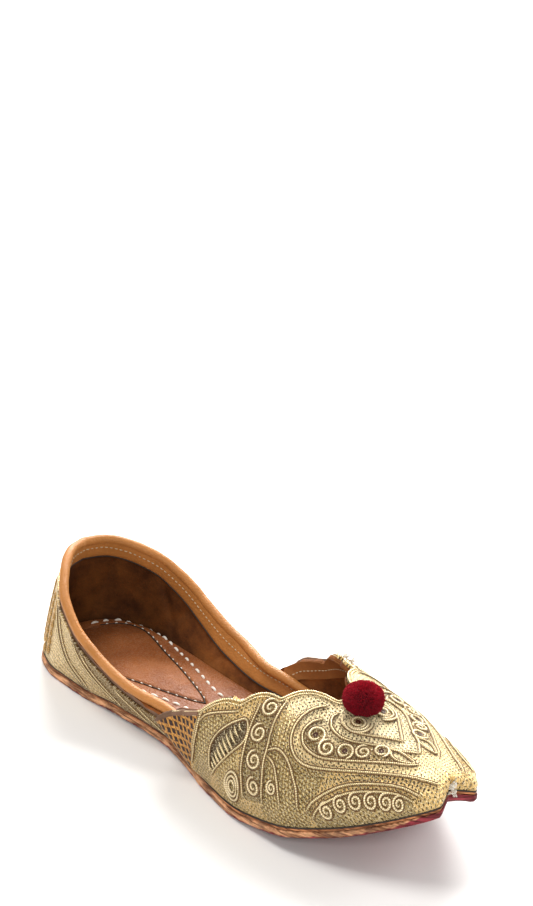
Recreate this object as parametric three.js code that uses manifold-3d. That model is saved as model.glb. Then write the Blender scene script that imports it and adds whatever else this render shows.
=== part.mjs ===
// Mojari slip-on shoe, one shoe of a straight-lasted pair, standing empty on its sole.
// Millimetres. +X points to the toe, +Y to the left side, +Z up, the floor is z = 0.
import * as THREE from "three";
import Module from "manifold-3d";

const wasm = await Module();
wasm.setup();

// Driving sizes of the shoe
const LENGTH = 250;
const BALL_WIDTH = 87;
const INSTEP_HEIGHT = 50;
const TOE_SPRING = 32;
const SPRING_START = 0.6;
const ARCH_RISE = 0.8;
const TOE_FOLD = 6;
const FOLD_SHARE = 0.72;
const FOLD_LEAST = 10;
const TOE_FOLD_START = 0.86;
const TOE_NOTCH = 6;
const TOE_NOTCH_HALF = 10;

// Sole build, from the floor up
const OUTSOLE_THICK = 3.0;
const MIDSOLE_THICK = 1.2;
const INSOLE_THICK = 2.0;
const PAD_THICK = 1.4;
const GAP = 0.3;
const MIDSOLE_BASE = OUTSOLE_THICK + GAP;
const FOOT_LINE = MIDSOLE_BASE + MIDSOLE_THICK + GAP;
const PAD_BASE = FOOT_LINE + INSOLE_THICK + GAP;
const MIDSOLE_INSET = 0.5;
const FOOT_INSET = 1.9;

// Leather thicknesses and edges
const WALL = 1.6;
const COVER = 0.9;
const COVER_OUT = GAP + COVER;
const FACING_THICK = 0.8;
const FACING_WIDTH = 8.5;
const PIPING_RADIUS = 2.2;
const EDGE_REVEAL = 0.7;

// Sections from the back of the heel to the toe tip.
// x and bellyX are shares of LENGTH, sole and belly are half widths as shares of BALL_WIDTH,
// rise (widest line above the foot line) and crown (height of the closed form) are shares of
// INSTEP_HEIGHT, square is the corner exponent of the section.
const SECTIONS = [
  { x: 0.0, sole: 0.0, bellyX: 0.036, belly: 0.0, rise: 0.98, crown: 1.42, square: 5 },
  { x: 0.008, sole: 0.122, bellyX: 0.045, belly: 0.095, rise: 0.97, crown: 1.42, square: 5 },
  { x: 0.024, sole: 0.208, bellyX: 0.063, belly: 0.175, rise: 0.94, crown: 1.4, square: 5 },
  { x: 0.056, sole: 0.294, bellyX: 0.091, belly: 0.258, rise: 0.89, crown: 1.36, square: 5 },
  { x: 0.12, sole: 0.353, bellyX: 0.144, belly: 0.365, rise: 0.78, crown: 1.2, square: 5 },
  { x: 0.2, sole: 0.357, bellyX: 0.214, belly: 0.411, rise: 0.6, crown: 1.04, square: 5 },
  { x: 0.3, sole: 0.336, bellyX: 0.304, belly: 0.408, rise: 0.42, crown: 0.96, square: 4.5 },
  { x: 0.4, sole: 0.329, bellyX: 0.4, belly: 0.397, rise: 0.34, crown: 1.0, square: 4 },
  { x: 0.48, sole: 0.37, bellyX: 0.48, belly: 0.42, rise: 0.36, crown: 1.1, square: 2.8 },
  { x: 0.58, sole: 0.454, bellyX: 0.58, belly: 0.468, rise: 0.28, crown: 1.12, square: 2.1 },
  { x: 0.68, sole: 0.5, bellyX: 0.68, belly: 0.495, rise: 0.18, crown: 1.08, square: 2 },
  { x: 0.76, sole: 0.497, bellyX: 0.758, belly: 0.488, rise: 0.14, crown: 1.0, square: 2 },
  { x: 0.84, sole: 0.43, bellyX: 0.836, belly: 0.422, rise: 0.11, crown: 0.93, square: 2 },
  { x: 0.92, sole: 0.31, bellyX: 0.916, belly: 0.303, rise: 0.08, crown: 0.89, square: 2 },
  { x: 0.972, sole: 0.2, bellyX: 0.967, belly: 0.193, rise: 0.06, crown: 0.88, square: 2 },
  { x: 0.99, sole: 0.152, bellyX: 0.985, belly: 0.146, rise: 0.05, crown: 0.88, square: 2 },
  { x: 0.9985, sole: 0.1, bellyX: 0.994, belly: 0.096, rise: 0.05, crown: 0.88, square: 2 },
  { x: 1.0, sole: 0.0, bellyX: 0.996, belly: 0.0, rise: 0.05, crown: 0.88, square: 2 },
];
// Ends of the ridge line that the closed form gathers to
const RIDGE_BACK = 0.17;
const RIDGE_FRONT = 0.925;

// Centre of the collar roll: x share of LENGTH, z share of INSTEP_HEIGHT
const COLLAR = [
  { x: -0.1, z: 1.05 },
  { x: 0.036, z: 1.05 },
  { x: 0.052, z: 1.05 },
  { x: 0.08, z: 1.01 },
  { x: 0.112, z: 0.935 },
  { x: 0.152, z: 0.82 },
  { x: 0.232, z: 0.61 },
  { x: 0.312, z: 0.475 },
  { x: 0.392, z: 0.415 },
  { x: 0.46, z: 0.395 },
  { x: 0.54, z: 0.32 },
];
// The roll passes inside the wing between these stations and ends under the throat edge
const ROLL_IN_START = 0.392;
const ROLL_IN_END = 0.434;
const ROLL_IN = 3.6;
const ROLL_END = 0.524;
// Rear end of the wing: top corner, top front end, foot
const WING_CORNER = { x: 0.44, z: 0.42 };
const WING_MIDDLE = { x: 0.484, z: 0.6 };
const WING_FRONT = { x: 0.54, z: 0.72 };
const WING_FOOT = { x: 0.512, z: 0.08 };
// Edge from the wing to the first corner of the throat: run and climb in mm
const LOBE_EDGE = [
  { run: 2.5, climb: 3.4 },
  { run: 6.5, climb: 7.2 },
  { run: 12, climb: 9.5 },
];
const WING_RISE = 1.4;
const WING_FLARE = 3.0;
// Corners between the lobes of the throat edge: x share of LENGTH, y share of BALL_WIDTH
const THROAT_CORNERS = [
  { x: 0.738, y: 0.0 },
  { x: 0.732, y: 0.063 },
  { x: 0.664, y: 0.236 },
  { x: 0.608, y: 0.339 },
  { x: 0.536, y: 0.437 },
];
const LOBE_BULGE = 0.17;
const THROAT_BACK = 0.53;
const THROAT_FLOOR = 30;

// Heel pad outline: x share of LENGTH, y share of BALL_WIDTH
const PAD_OUTLINE = [
  { x: 0.05, y: 0.0 },
  { x: 0.054, y: 0.105 },
  { x: 0.074, y: 0.21 },
  { x: 0.106, y: 0.252 },
  { x: 0.14, y: 0.246 },
  { x: 0.2, y: 0.196 },
  { x: 0.26, y: 0.142 },
  { x: 0.32, y: 0.088 },
  { x: 0.37, y: 0.036 },
  { x: 0.392, y: 0.0 },
];
// Front edge of the stitched insole band, from the crossing to the side
const BAND_FRONT = [
  { x: 0.42, y: 0.0 },
  { x: 0.47, y: 0.13 },
  { x: 0.545, y: 0.285 },
  { x: 0.585, y: 0.36 },
  { x: 0.6, y: 0.6 },
];

// Pompom at the throat
const POMPOM = { x: 0.77, radius: 7.2, reach: 9.2, rise: 6.6, squash: 0.86, tufts: 52 };

// Powers that shape the wall between the foot line and its widest line
const BULGE = 1.35;
const HEEL_LEAN = 1.6;

const HALF_COLUMNS = 42;
const WALL_RINGS = 4;
const DOME_RINGS = 8;

function clamp(value, low, high) {
  return Math.min(high, Math.max(low, value));
}

function smooth(low, high, value) {
  const t = clamp((value - low) / (high - low), 0, 1);
  return t * t * (3 - 2 * t);
}

// Smooth curve through rows that never overshoots between them
function curve(keys, values) {
  const last = keys.length - 1;
  const slopes = values.map((value, i) => {
    if (i === 0 || i === last) return 0;
    const before = (value - values[i - 1]) / (keys[i] - keys[i - 1]);
    const after = (values[i + 1] - value) / (keys[i + 1] - keys[i]);
    return before * after <= 0 ? 0 : (2 * before * after) / (before + after);
  });
  slopes[0] = (values[1] - values[0]) / (keys[1] - keys[0]);
  slopes[last] = (values[last] - values[last - 1]) / (keys[last] - keys[last - 1]);
  return (key) => {
    if (key <= keys[0]) return values[0];
    if (key >= keys[last]) return values[last];
    let i = 0;
    while (key > keys[i + 1]) i += 1;
    const width = keys[i + 1] - keys[i];
    const t = (key - keys[i]) / width;
    const rest = 1 - t;
    return (
      values[i] * (1 + 2 * t) * rest * rest +
      slopes[i] * width * t * rest * rest +
      values[i + 1] * t * t * (3 - 2 * t) -
      slopes[i + 1] * width * t * t * rest
    );
  };
}

function column(rows, name, size) {
  return rows.map((row) => row[name] * size);
}

// Height of the underside of the sole above the floor
const soleHalf = curve(column(SECTIONS, "x", LENGTH), column(SECTIONS, "sole", BALL_WIDTH));
function ground(x, y) {
  const start = SPRING_START * LENGTH;
  const forward = Math.max(0, (x - start) / (LENGTH - start));
  const arch = ARCH_RISE * smooth(50, 70, x) * smooth(125, 105, x);
  const foldHalf = Math.max(FOLD_LEAST, FOLD_SHARE * soleHalf(x));
  const crease = Math.max(0, 1 - Math.abs(y) / foldHalf);
  const folded = clamp((x / LENGTH - TOE_FOLD_START) / (1 - TOE_FOLD_START), 0, 1);
  const fold = TOE_FOLD * folded * crease;
  return TOE_SPRING * forward * forward + arch + fold;
}

// Plan pull-in of the toe centre between its two lobes
function notchDepth(x, y) {
  const side = Math.max(0, 1 - Math.abs(y) / TOE_NOTCH_HALF);
  return TOE_NOTCH * side * smooth(0.9 * LENGTH, LENGTH, x);
}

function notch(x, y) {
  return x - notchDepth(x, y);
}

// The two plan outlines of one side, sampled at the same stations
const steps = SECTIONS.map((row, i) => {
  if (i === 0) return 0;
  const back = SECTIONS[i - 1];
  return Math.hypot((row.x - back.x) * LENGTH, (row.sole - back.sole) * BALL_WIDTH);
});
const travel = steps.map((_, i) => steps.slice(0, i + 1).reduce((sum, step) => sum + step, 0));
const along = {
  x: curve(travel, column(SECTIONS, "x", LENGTH)),
  sole: curve(travel, column(SECTIONS, "sole", BALL_WIDTH)),
  bellyX: curve(travel, column(SECTIONS, "bellyX", LENGTH)),
  belly: curve(travel, column(SECTIONS, "belly", BALL_WIDTH)),
  rise: curve(travel, column(SECTIONS, "rise", INSTEP_HEIGHT)),
  square: curve(travel, column(SECTIONS, "square", 1)),
};
const crownAt = curve(
  column(SECTIONS, "bellyX", LENGTH),
  column(SECTIONS, "crown", INSTEP_HEIGHT)
);
const collarAt = curve(column(COLLAR, "x", LENGTH), column(COLLAR, "z", INSTEP_HEIGHT));

const stations = Array.from({ length: HALF_COLUMNS + 1 }, (_, i) => {
  const even = i / HALF_COLUMNS;
  const eased = (1 - Math.cos(Math.PI * even)) / 2;
  return travel[travel.length - 1] * (0.55 * even + 0.45 * eased);
});

// Shares of the half width at which the sole surfaces are sampled across
const LAYER_COLUMNS = [-1, -FOLD_SHARE, 0, FOLD_SHARE, 1];

// Outline of the sole moved inward by a distance, heel to toe on the left side
function soleOutline(inset) {
  const points = stations.map((t) => [along.x(t), along.sole(t)]);
  return points.map(([x, y], i) => {
    const before = i === 0 ? [points[1][0], -points[1][1]] : points[i - 1];
    const after =
      i === HALF_COLUMNS ? [points[i - 1][0], -points[i - 1][1]] : points[i + 1];
    const run = Math.hypot(after[0] - before[0], after[1] - before[1]);
    const inX = (after[1] - before[1]) / run;
    const inY = -(after[0] - before[0]) / run;
    const side = i === 0 || i === HALF_COLUMNS ? 0 : Math.max(0, y + inY * inset);
    return [x + inX * inset, side];
  });
}

function makeSolid(points, faces) {
  const seen = new Map();
  const kept = [];
  const index = points.map((point) => {
    const key = point.map((value) => Math.round(value * 1e4)).join();
    if (!seen.has(key)) {
      seen.set(key, kept.length);
      kept.push(point);
    }
    return seen.get(key);
  });
  const tris = faces
    .map((face) => face.map((i) => index[i]))
    .filter(([a, b, c]) => a !== b && b !== c && a !== c);
  const volume = tris.reduce((sum, [a, b, c]) => {
    const [p, q, r] = [kept[a], kept[b], kept[c]];
    return (
      sum +
      p[0] * (q[1] * r[2] - q[2] * r[1]) +
      p[1] * (q[2] * r[0] - q[0] * r[2]) +
      p[2] * (q[0] * r[1] - q[1] * r[0])
    );
  }, 0);
  const outward = volume < 0 ? tris.map(([a, b, c]) => [a, c, b]) : tris;
  return new wasm.Manifold(
    new wasm.Mesh({
      numProp: 3,
      vertProperties: new Float32Array(kept.flat()),
      triVerts: new Uint32Array(outward.flat()),
    })
  );
}

// A polygon of [u, v] points drawn out along the third direction
function prism(outline, low, high, place) {
  const shape = outline.map(([u, v]) => new THREE.Vector2(u, v));
  const count = shape.length;
  const caps = THREE.ShapeUtils.triangulateShape(shape, []);
  const points = [low, high].flatMap((w) => outline.map(([u, v]) => place(u, v, w)));
  const faces = [];
  caps.forEach(([a, b, c]) => {
    faces.push([a, b, c], [a + count, c + count, b + count]);
  });
  const clockwise = THREE.ShapeUtils.isClockWise(shape);
  outline.forEach((_, i) => {
    const next = (i + 1) % count;
    const quad = [
      [i, i + count, next],
      [next, i + count, next + count],
    ];
    quad.forEach(([a, b, c]) => faces.push(clockwise ? [a, c, b] : [a, b, c]));
  });
  return makeSolid(points, faces);
}

function sidePrism(outline, low, high) {
  return prism(outline, low, high, (x, z, y) => [x, y, z]);
}

function planPrism(outline, low, high) {
  return prism(outline, low, high, (x, y, z) => [x, y, z]);
}

// The closed outer form of the upper, ring by ring from the foot line to the ridge
const foot = soleOutline(FOOT_INSET);
const ringPoints = [];
const RING_COUNT = WALL_RINGS + DOME_RINGS + 1;
const RING_SIZE = 2 * HALF_COLUMNS;

function sectionPoint(station, ring, side) {
  const t = stations[station];
  const [footX, footY] = foot[station];
  const footZ = ground(footX, footY) + FOOT_LINE;
  const bellyZ = footZ + along.rise(t);
  if (ring <= WALL_RINGS) {
    const share = ring / WALL_RINGS;
    const out = 1 - (1 - share) ** BULGE;
    const x = footX + (along.bellyX(t) - footX) * share ** HEEL_LEAN;
    const y = footY + (along.belly(t) - footY) * out;
    return [notch(x, y), side * y, footZ + (bellyZ - footZ) * share];
  }
  const angle = ((ring - WALL_RINGS) / DOME_RINGS) * (Math.PI / 2);
  const power = 2 / along.square(t);
  const inward = ring === RING_COUNT - 1 ? 0 : Math.cos(angle) ** power;
  const upward = Math.sin(angle) ** power;
  const ridgeX = clamp(along.bellyX(t), RIDGE_BACK * LENGTH, RIDGE_FRONT * LENGTH);
  const x = ridgeX + (along.bellyX(t) - ridgeX) * inward;
  const y = along.belly(t) * inward;
  return [notch(x, y), side * y, bellyZ + (crownAt(ridgeX) - bellyZ) * upward];
}

for (let ring = 0; ring < RING_COUNT; ring += 1) {
  for (let i = 0; i < RING_SIZE; i += 1) {
    const left = i <= HALF_COLUMNS;
    ringPoints.push(sectionPoint(left ? i : RING_SIZE - i, ring, left ? 1 : -1));
  }
}

function ringFaces(rings) {
  const faces = [];
  for (let ring = 0; ring + 1 < rings; ring += 1) {
    for (let i = 0; i < RING_SIZE; i += 1) {
      const next = (i + 1) % RING_SIZE;
      const a = ring * RING_SIZE + i;
      const b = ring * RING_SIZE + next;
      faces.push([a, a + RING_SIZE, b], [b, a + RING_SIZE, b + RING_SIZE]);
    }
  }
  return faces;
}

// Outward direction at every point of the form; the foot line only moves sideways
const ringNormals = (() => {
  const keys = ringPoints.map((p) => p.map((value) => Math.round(value * 1e4)).join());
  const sums = new Map();
  ringFaces(RING_COUNT).forEach((face) => {
    const [a, b, c] = face.map((i) => new THREE.Vector3(...ringPoints[i]));
    const normal = b.sub(a).cross(c.sub(a));
    new Set(face.map((i) => keys[i])).forEach((key) => {
      if (!sums.has(key)) sums.set(key, new THREE.Vector3());
      sums.get(key).add(normal);
    });
  });
  return keys.map((key, i) => {
    const normal = sums.get(key).clone();
    if (i < RING_SIZE) normal.setZ(0);
    return normal.normalize();
  });
})();

function offsetPoints(offset) {
  return ringPoints.map((p, i) => {
    const distance = typeof offset === "function" ? offset(p) : offset;
    const n = ringNormals[i];
    const [x, y] = [p[0] + n.x * distance, p[1] + n.y * distance];
    return [x, y, i < RING_SIZE ? ground(x, y) + FOOT_LINE : p[2] + n.z * distance];
  });
}

// Closed solid of the form moved out by a distance; drop carries its foot further down
function form(offset, drop) {
  const body = offsetPoints(offset);
  const skirt = drop > 0 ? body.slice(0, RING_SIZE).map(([x, y, z]) => [x, y, z - drop]) : [];
  const points = [...skirt, ...body];
  const faces = ringFaces(points.length / RING_SIZE);
  const width = LAYER_COLUMNS.length;
  const base = points.length;
  for (let i = 0; i <= HALF_COLUMNS; i += 1) {
    const [edgeX, edgeY] = body[i];
    const rowX = edgeX + notchDepth(edgeX, edgeY);
    const atEnd = i === 0 || i === HALF_COLUMNS;
    LAYER_COLUMNS.forEach((share) => {
      const y = share * edgeY;
      const x = notch(rowX, y);
      points.push(atEnd ? points[i] : [x, y, ground(x, y) + FOOT_LINE - drop]);
    });
    points[base + i * width] = points[(RING_SIZE - i) % RING_SIZE];
    points[base + (i + 1) * width - 1] = points[i];
  }
  for (let i = 0; i < HALF_COLUMNS; i += 1) {
    for (let k = 0; k + 1 < width; k += 1) {
      const a = base + i * width + k;
      faces.push([a, a + 1, a + width], [a + 1, a + width + 1, a + width]);
    }
  }
  return makeSolid(points, faces);
}

// Flat layer that follows the underside of the sole
function layer(inset, trim, base, thick) {
  const rows = soleOutline(inset);
  const width = LAYER_COLUMNS.length;
  const middle = (width - 1) / 2;
  const plane = rows.map(([x, half]) =>
    LAYER_COLUMNS.map((share) => {
      const y = share * half;
      const px = notch(x, y);
      return new THREE.Vector3(px, y, ground(px, y));
    })
  );
  const pull = (from, to) => from.clone().lerp(to, trim / Math.max(trim, from.distanceTo(to)));
  const trimmed = plane.map((row, i) => {
    if (trim === 0) return row;
    if (i === 0) return row.map((p) => pull(p, plane[1][middle]));
    if (i === plane.length - 1) return row.map((p) => pull(p, plane[i - 1][middle]));
    return row.map((p, k) => {
      if (k === 0) return pull(p, row[1]);
      return k === width - 1 ? pull(p, row[k - 1]) : p;
    });
  });
  const points = [base, base + thick].flatMap((lift) =>
    trimmed.flatMap((row) => row.map((p) => [p.x, p.y, p.z + lift]))
  );
  const top = rows.length * width;
  const faces = [];
  for (let row = 0; row + 1 < rows.length; row += 1) {
    for (let i = 0; i + 1 < width; i += 1) {
      const a = row * width + i;
      const b = a + 1;
      const c = a + width;
      const d = c + 1;
      faces.push([a, b, c], [b, d, c], [a + top, c + top, b + top], [b + top, c + top, d + top]);
    }
    [0, width - 1].forEach((edge) => {
      const a = row * width + edge;
      const c = a + width;
      const rim = [
        [a, c, a + top],
        [c, c + top, a + top],
      ];
      rim.forEach(([p, q, r]) => faces.push(edge === 0 ? [p, q, r] : [p, r, q]));
    });
  }
  return makeSolid(points, faces);
}

function mirrored(outline) {
  const back = outline.filter(([, y]) => y > 0).map(([x, y]) => [x, -y]).reverse();
  return [...outline, ...back];
}

// Regions that cut the leather pieces, in the side view and in plan
const FAR = 80;
const collarXs = Array.from({ length: 34 }, (_, i) => (-0.08 + 0.018 * i) * LENGTH);
const wing = {
  corner: [WING_CORNER.x * LENGTH, WING_CORNER.z * INSTEP_HEIGHT],
  middle: [WING_MIDDLE.x * LENGTH, WING_MIDDLE.z * INSTEP_HEIGHT],
  front: [WING_FRONT.x * LENGTH, WING_FRONT.z * INSTEP_HEIGHT],
  foot: [WING_FOOT.x * LENGTH, WING_FOOT.z * INSTEP_HEIGHT],
};

// Side view region above a line parallel to the collar roll, up to the wing corner
function aboveCollar(shift, end) {
  const line = collarXs.filter((x) => x < end).map((x) => [x, collarAt(x) + shift]);
  return [...line, [end, collarAt(end) + shift]];
}

function throatOutline(grow) {
  const corners = THROAT_CORNERS.map(({ x, y }) => [x * LENGTH, y * BALL_WIDTH]);
  const side = [[corners[0][0] + grow, 0]];
  for (let lobe = 0; lobe + 1 < corners.length; lobe += 1) {
    const [x0, y0] = corners[lobe];
    const [x1, y1] = corners[lobe + 1];
    const bulge = lobe === 0 ? 0 : LOBE_BULGE;
    const midX = (x0 + x1) / 2 - (y1 - y0) * bulge * 2;
    const midY = (y0 + y1) / 2 + (x1 - x0) * bulge * 2;
    const run = Math.hypot(x1 - x0, y1 - y0);
    const outX = ((y1 - y0) / run) * grow;
    const outY = (-(x1 - x0) / run) * grow;
    const count = lobe === 0 ? 1 : 6;
    for (let i = 1; i <= count; i += 1) {
      const t = i / count;
      const x = (1 - t) ** 2 * x0 + 2 * t * (1 - t) * midX + t * t * x1;
      const y = (1 - t) ** 2 * y0 + 2 * t * (1 - t) * midY + t * t * y1;
      side.push([x + outX, y + outY]);
    }
  }
  const last = side[side.length - 1];
  side.push([THROAT_BACK * LENGTH, last[1]]);
  return mirrored(side);
}

const collarEnd = ROLL_END * LENGTH;
const edgeBelow = PIPING_RADIUS + GAP;
function openingRegion(shift, grow) {
  const outline = [
    ...aboveCollar(shift, wing.corner[0] - 1),
    [wing.corner[0], wing.corner[1] - grow],
    [wing.middle[0], wing.middle[1] - grow],
    [wing.front[0], wing.front[1] - grow],
    ...LOBE_EDGE.map(({ run, climb }) => [wing.front[0] + run, wing.front[1] + climb - grow]),
    [wing.front[0] + LOBE_EDGE[2].run + 3, FAR],
    [collarXs[0], FAR],
  ];
  return sidePrism(outline, -FAR, FAR);
}

// Outward shift of the vamp leather: it laps over the quarter and stands off at the corner
function lapOffset([x, , z]) {
  const rear = clamp((z - wing.foot[1]) / (wing.corner[1] - wing.foot[1]), 0, 1);
  const ahead = x - (wing.foot[0] + (wing.corner[0] - wing.foot[0]) * rear);
  const lap = WING_RISE * smooth(15, 4, ahead);
  const flare = WING_FLARE * rear * smooth(24, 0, ahead);
  return GAP + lap + flare;
}

const outer = form(0, 0);
const throat = planPrism(throatOutline(0), THROAT_FLOOR, FAR + 20);
const throatWide = planPrism(throatOutline(EDGE_REVEAL), THROAT_FLOOR, FAR + 20);

const upper = outer
  .subtract(form(-WALL, 8))
  .subtract(openingRegion(-edgeBelow, 0))
  .subtract(throat);

// Embroidered leather of the vamp and the woven panel at its rear end
const vampShell = form((p) => lapOffset(p) + COVER, 0)
  .subtract(form(lapOffset, 8))
  .subtract(openingRegion(-edgeBelow, EDGE_REVEAL))
  .subtract(throatWide);
const goldFoot = wing.foot[0] + 3;
const vampRegion = sidePrism(
  [
    [goldFoot, -5],
    [goldFoot, wing.foot[1]],
    wing.front,
    [wing.front[0], FAR],
    [LENGTH + 20, FAR],
    [LENGTH + 20, -5],
  ],
  -FAR,
  FAR
);
const vampCover = vampShell.intersect(vampRegion);
const panelRegion = [
  [wing.foot[0], -5],
  [wing.foot[0], wing.foot[1]],
  wing.corner,
  [wing.corner[0], FAR],
  [wing.front[0] - GAP, FAR],
  [wing.front[0] - GAP, wing.front[1]],
  [goldFoot - GAP, wing.foot[1]],
  [goldFoot - GAP, -5],
];
const panelLeft = vampShell.intersect(sidePrism(panelRegion, 1, FAR));
const panelRight = vampShell.intersect(sidePrism(panelRegion, -FAR, -1));

// Gold leather round the heel and sides, its front end runs under the wing
const quarterTop = aboveCollar(-edgeBelow - 2.2, wing.corner[0] + 4);
const quarterCover = form(COVER_OUT, 0)
  .subtract(form(GAP, 8))
  .intersect(
    sidePrism(
      [...quarterTop, [wing.foot[0] + 4, wing.foot[1]], [wing.foot[0] + 4, -5], [collarXs[0], -5]],
      -FAR,
      FAR
    )
  );

// Leather roll on the collar with the facing turned down inside
const rollMiddle = offsetPoints(
  ([x]) => -WALL / 2 - ROLL_IN * smooth(ROLL_IN_START * LENGTH, ROLL_IN_END * LENGTH, x)
);
function collarPoint(i) {
  for (let ring = 0; ring + 1 < RING_COUNT; ring += 1) {
    const p = rollMiddle[ring * RING_SIZE + i];
    const q = rollMiddle[(ring + 1) * RING_SIZE + i];
    const low = p[2] - collarAt(p[0]);
    const high = q[2] - collarAt(q[0]);
    if (low <= 0 && high > 0) {
      const t = -low / (high - low);
      return p.map((value, k) => value + (q[k] - value) * t);
    }
  }
  return null;
}
const rollLeft = [];
for (let i = 0; i < HALF_COLUMNS; i += 1) {
  const point = collarPoint(i);
  if (point && point[0] < collarEnd) rollLeft.push(point);
}
const rollLine = [
  ...rollLeft.slice(1).map(([x, y, z]) => [x, -y, z]).reverse(),
  ...rollLeft,
].map((p) => new THREE.Vector3(...p));
const rollCurve = new THREE.CatmullRomCurve3(rollLine, false, "centripetal");

function tube(path, segments, sides, radius) {
  const points = [];
  for (let i = 0; i <= segments; i += 1) {
    const centre = path.getPointAt(i / segments);
    const tangent = path.getTangentAt(i / segments);
    const across = new THREE.Vector3(0, 0, 1).cross(tangent).normalize();
    const up = tangent.clone().cross(across).normalize();
    for (let k = 0; k < sides; k += 1) {
      const angle = (2 * Math.PI * k) / sides;
      const p = centre
        .clone()
        .addScaledVector(across, Math.cos(angle) * radius)
        .addScaledVector(up, Math.sin(angle) * radius);
      points.push(p.toArray());
    }
  }
  const faces = [];
  for (let i = 0; i < segments; i += 1) {
    for (let k = 0; k < sides; k += 1) {
      const next = (k + 1) % sides;
      const a = i * sides + k;
      const b = i * sides + next;
      faces.push([a, a + sides, b], [b, a + sides, b + sides]);
    }
  }
  const end = segments * sides;
  for (let k = 1; k + 1 < sides; k += 1) {
    faces.push([0, k, k + 1], [end, end + k + 1, end + k]);
  }
  return makeSolid(points, faces);
}

const facingOut = -WALL - GAP;
const facingTop = aboveCollar(0, collarEnd - 1);
const facingFoot = aboveCollar(-FACING_WIDTH, collarEnd - 1).reverse();
const facing = form(facingOut, 8)
  .subtract(form(facingOut - FACING_THICK, 12))
  .intersect(sidePrism([...facingTop, ...facingFoot], -FAR, FAR));
const collarBinding = tube(rollCurve, 52, 7, PIPING_RADIUS).add(facing);

// Sole layers, insole, stitched band and heel pad
const INSOLE_INSET = FOOT_INSET + WALL + 1.0;
const bandOutline = BAND_FRONT.map(({ x, y }) => [x * LENGTH, y * BALL_WIDTH]);
const padSide = (() => {
  const rows = PAD_OUTLINE.map(({ x, y }) => [x * LENGTH, y * BALL_WIDTH]);
  const length = rows.map((_, i) => i);
  const xs = curve(length, rows.map(([x]) => x));
  const ys = curve(length, rows.map(([, y]) => y));
  return Array.from({ length: 28 }, (_, i) => {
    const t = (i / 27) * (rows.length - 1);
    return [xs(t), i === 0 || i === 27 ? 0 : ys(t)];
  });
})();
const padOutline = mirrored(padSide);
const padHole = mirrored(
  padSide.map(([x, y], i) => {
    const side = y === 0 ? 0 : y + GAP;
    return [i < 4 ? x - GAP : x + (y === 0 ? 1 : 0), side];
  })
);
const padLayer = layer(INSOLE_INSET + 0.4, 0, PAD_BASE, PAD_THICK);
const bandFrontRegion = planPrism(
  [...bandOutline, [-20, 60], [-20, -60], ...bandOutline.slice(1).reverse().map(([x, y]) => [x, -y])],
  -20,
  FAR
);
const insoleBand = padLayer.intersect(bandFrontRegion).subtract(planPrism(padHole, -20, FAR));
const heelPad = layer(INSOLE_INSET + 0.4, 0, PAD_BASE, PAD_THICK + 0.8).intersect(
  planPrism(padOutline, -20, FAR)
);

// Pompom: a wool ball with pointed locks all round, trimmed where it sits on the vamp
const pompomX = POMPOM.x * LENGTH;
const pompomZ = crownAt(pompomX) + POMPOM.rise;
function spike(direction, foot, tip, reach) {
  const axis = direction.clone().normalize();
  const helper = Math.abs(axis.z) < 0.9 ? new THREE.Vector3(0, 0, 1) : new THREE.Vector3(1, 0, 0);
  const u = axis.clone().cross(helper).normalize();
  const v = axis.clone().cross(u);
  const points = [];
  [
    [0.45 * reach, foot],
    [0.86 * reach, foot * 0.9],
    [reach, tip],
  ].forEach(([distance, radius]) => {
    for (let k = 0; k < 4; k += 1) {
      const angle = (2 * Math.PI * k) / 4;
      const p = axis
        .clone()
        .multiplyScalar(distance)
        .addScaledVector(u, Math.cos(angle) * radius)
        .addScaledVector(v, Math.sin(angle) * radius);
      points.push([p.x + pompomX, p.y, p.z * POMPOM.squash + pompomZ]);
    }
  });
  const faces = [];
  for (let ring = 0; ring < 2; ring += 1) {
    for (let k = 0; k < 4; k += 1) {
      const next = (k + 1) % 4;
      const a = ring * 4 + k;
      const b = ring * 4 + next;
      faces.push([a, b, a + 4], [b, b + 4, a + 4]);
    }
  }
  for (let k = 1; k < 3; k += 1) {
    faces.push([0, k + 1, k], [8, 8 + k, 8 + k + 1]);
  }
  return makeSolid(points, faces);
}

function ball(radius) {
  const geometry = new THREE.IcosahedronGeometry(radius, 2);
  const position = geometry.getAttribute("position");
  const points = [];
  const faces = [];
  for (let i = 0; i < position.count; i += 1) {
    const z = position.getZ(i) * POMPOM.squash + pompomZ;
    points.push([position.getX(i) + pompomX, position.getY(i), z]);
    if (i % 3 === 2) faces.push([i - 2, i - 1, i]);
  }
  return makeSolid(points, faces);
}

let wool = ball(POMPOM.radius);
const golden = Math.PI * (3 - Math.sqrt(5));
for (let i = 0; i < POMPOM.tufts; i += 1) {
  const height = 1 - (2 * (i + 0.5)) / POMPOM.tufts;
  const level = Math.sqrt(1 - height * height);
  const turn = golden * i;
  const direction = new THREE.Vector3(Math.cos(turn) * level, Math.sin(turn) * level, height);
  const reach = POMPOM.reach - 0.7 * ((i * 0.618) % 1);
  wool = wool.add(spike(direction, 1.25, 0.35, reach));
}
const pompom = wool.subtract(form(COVER_OUT + GAP, 2));

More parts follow.
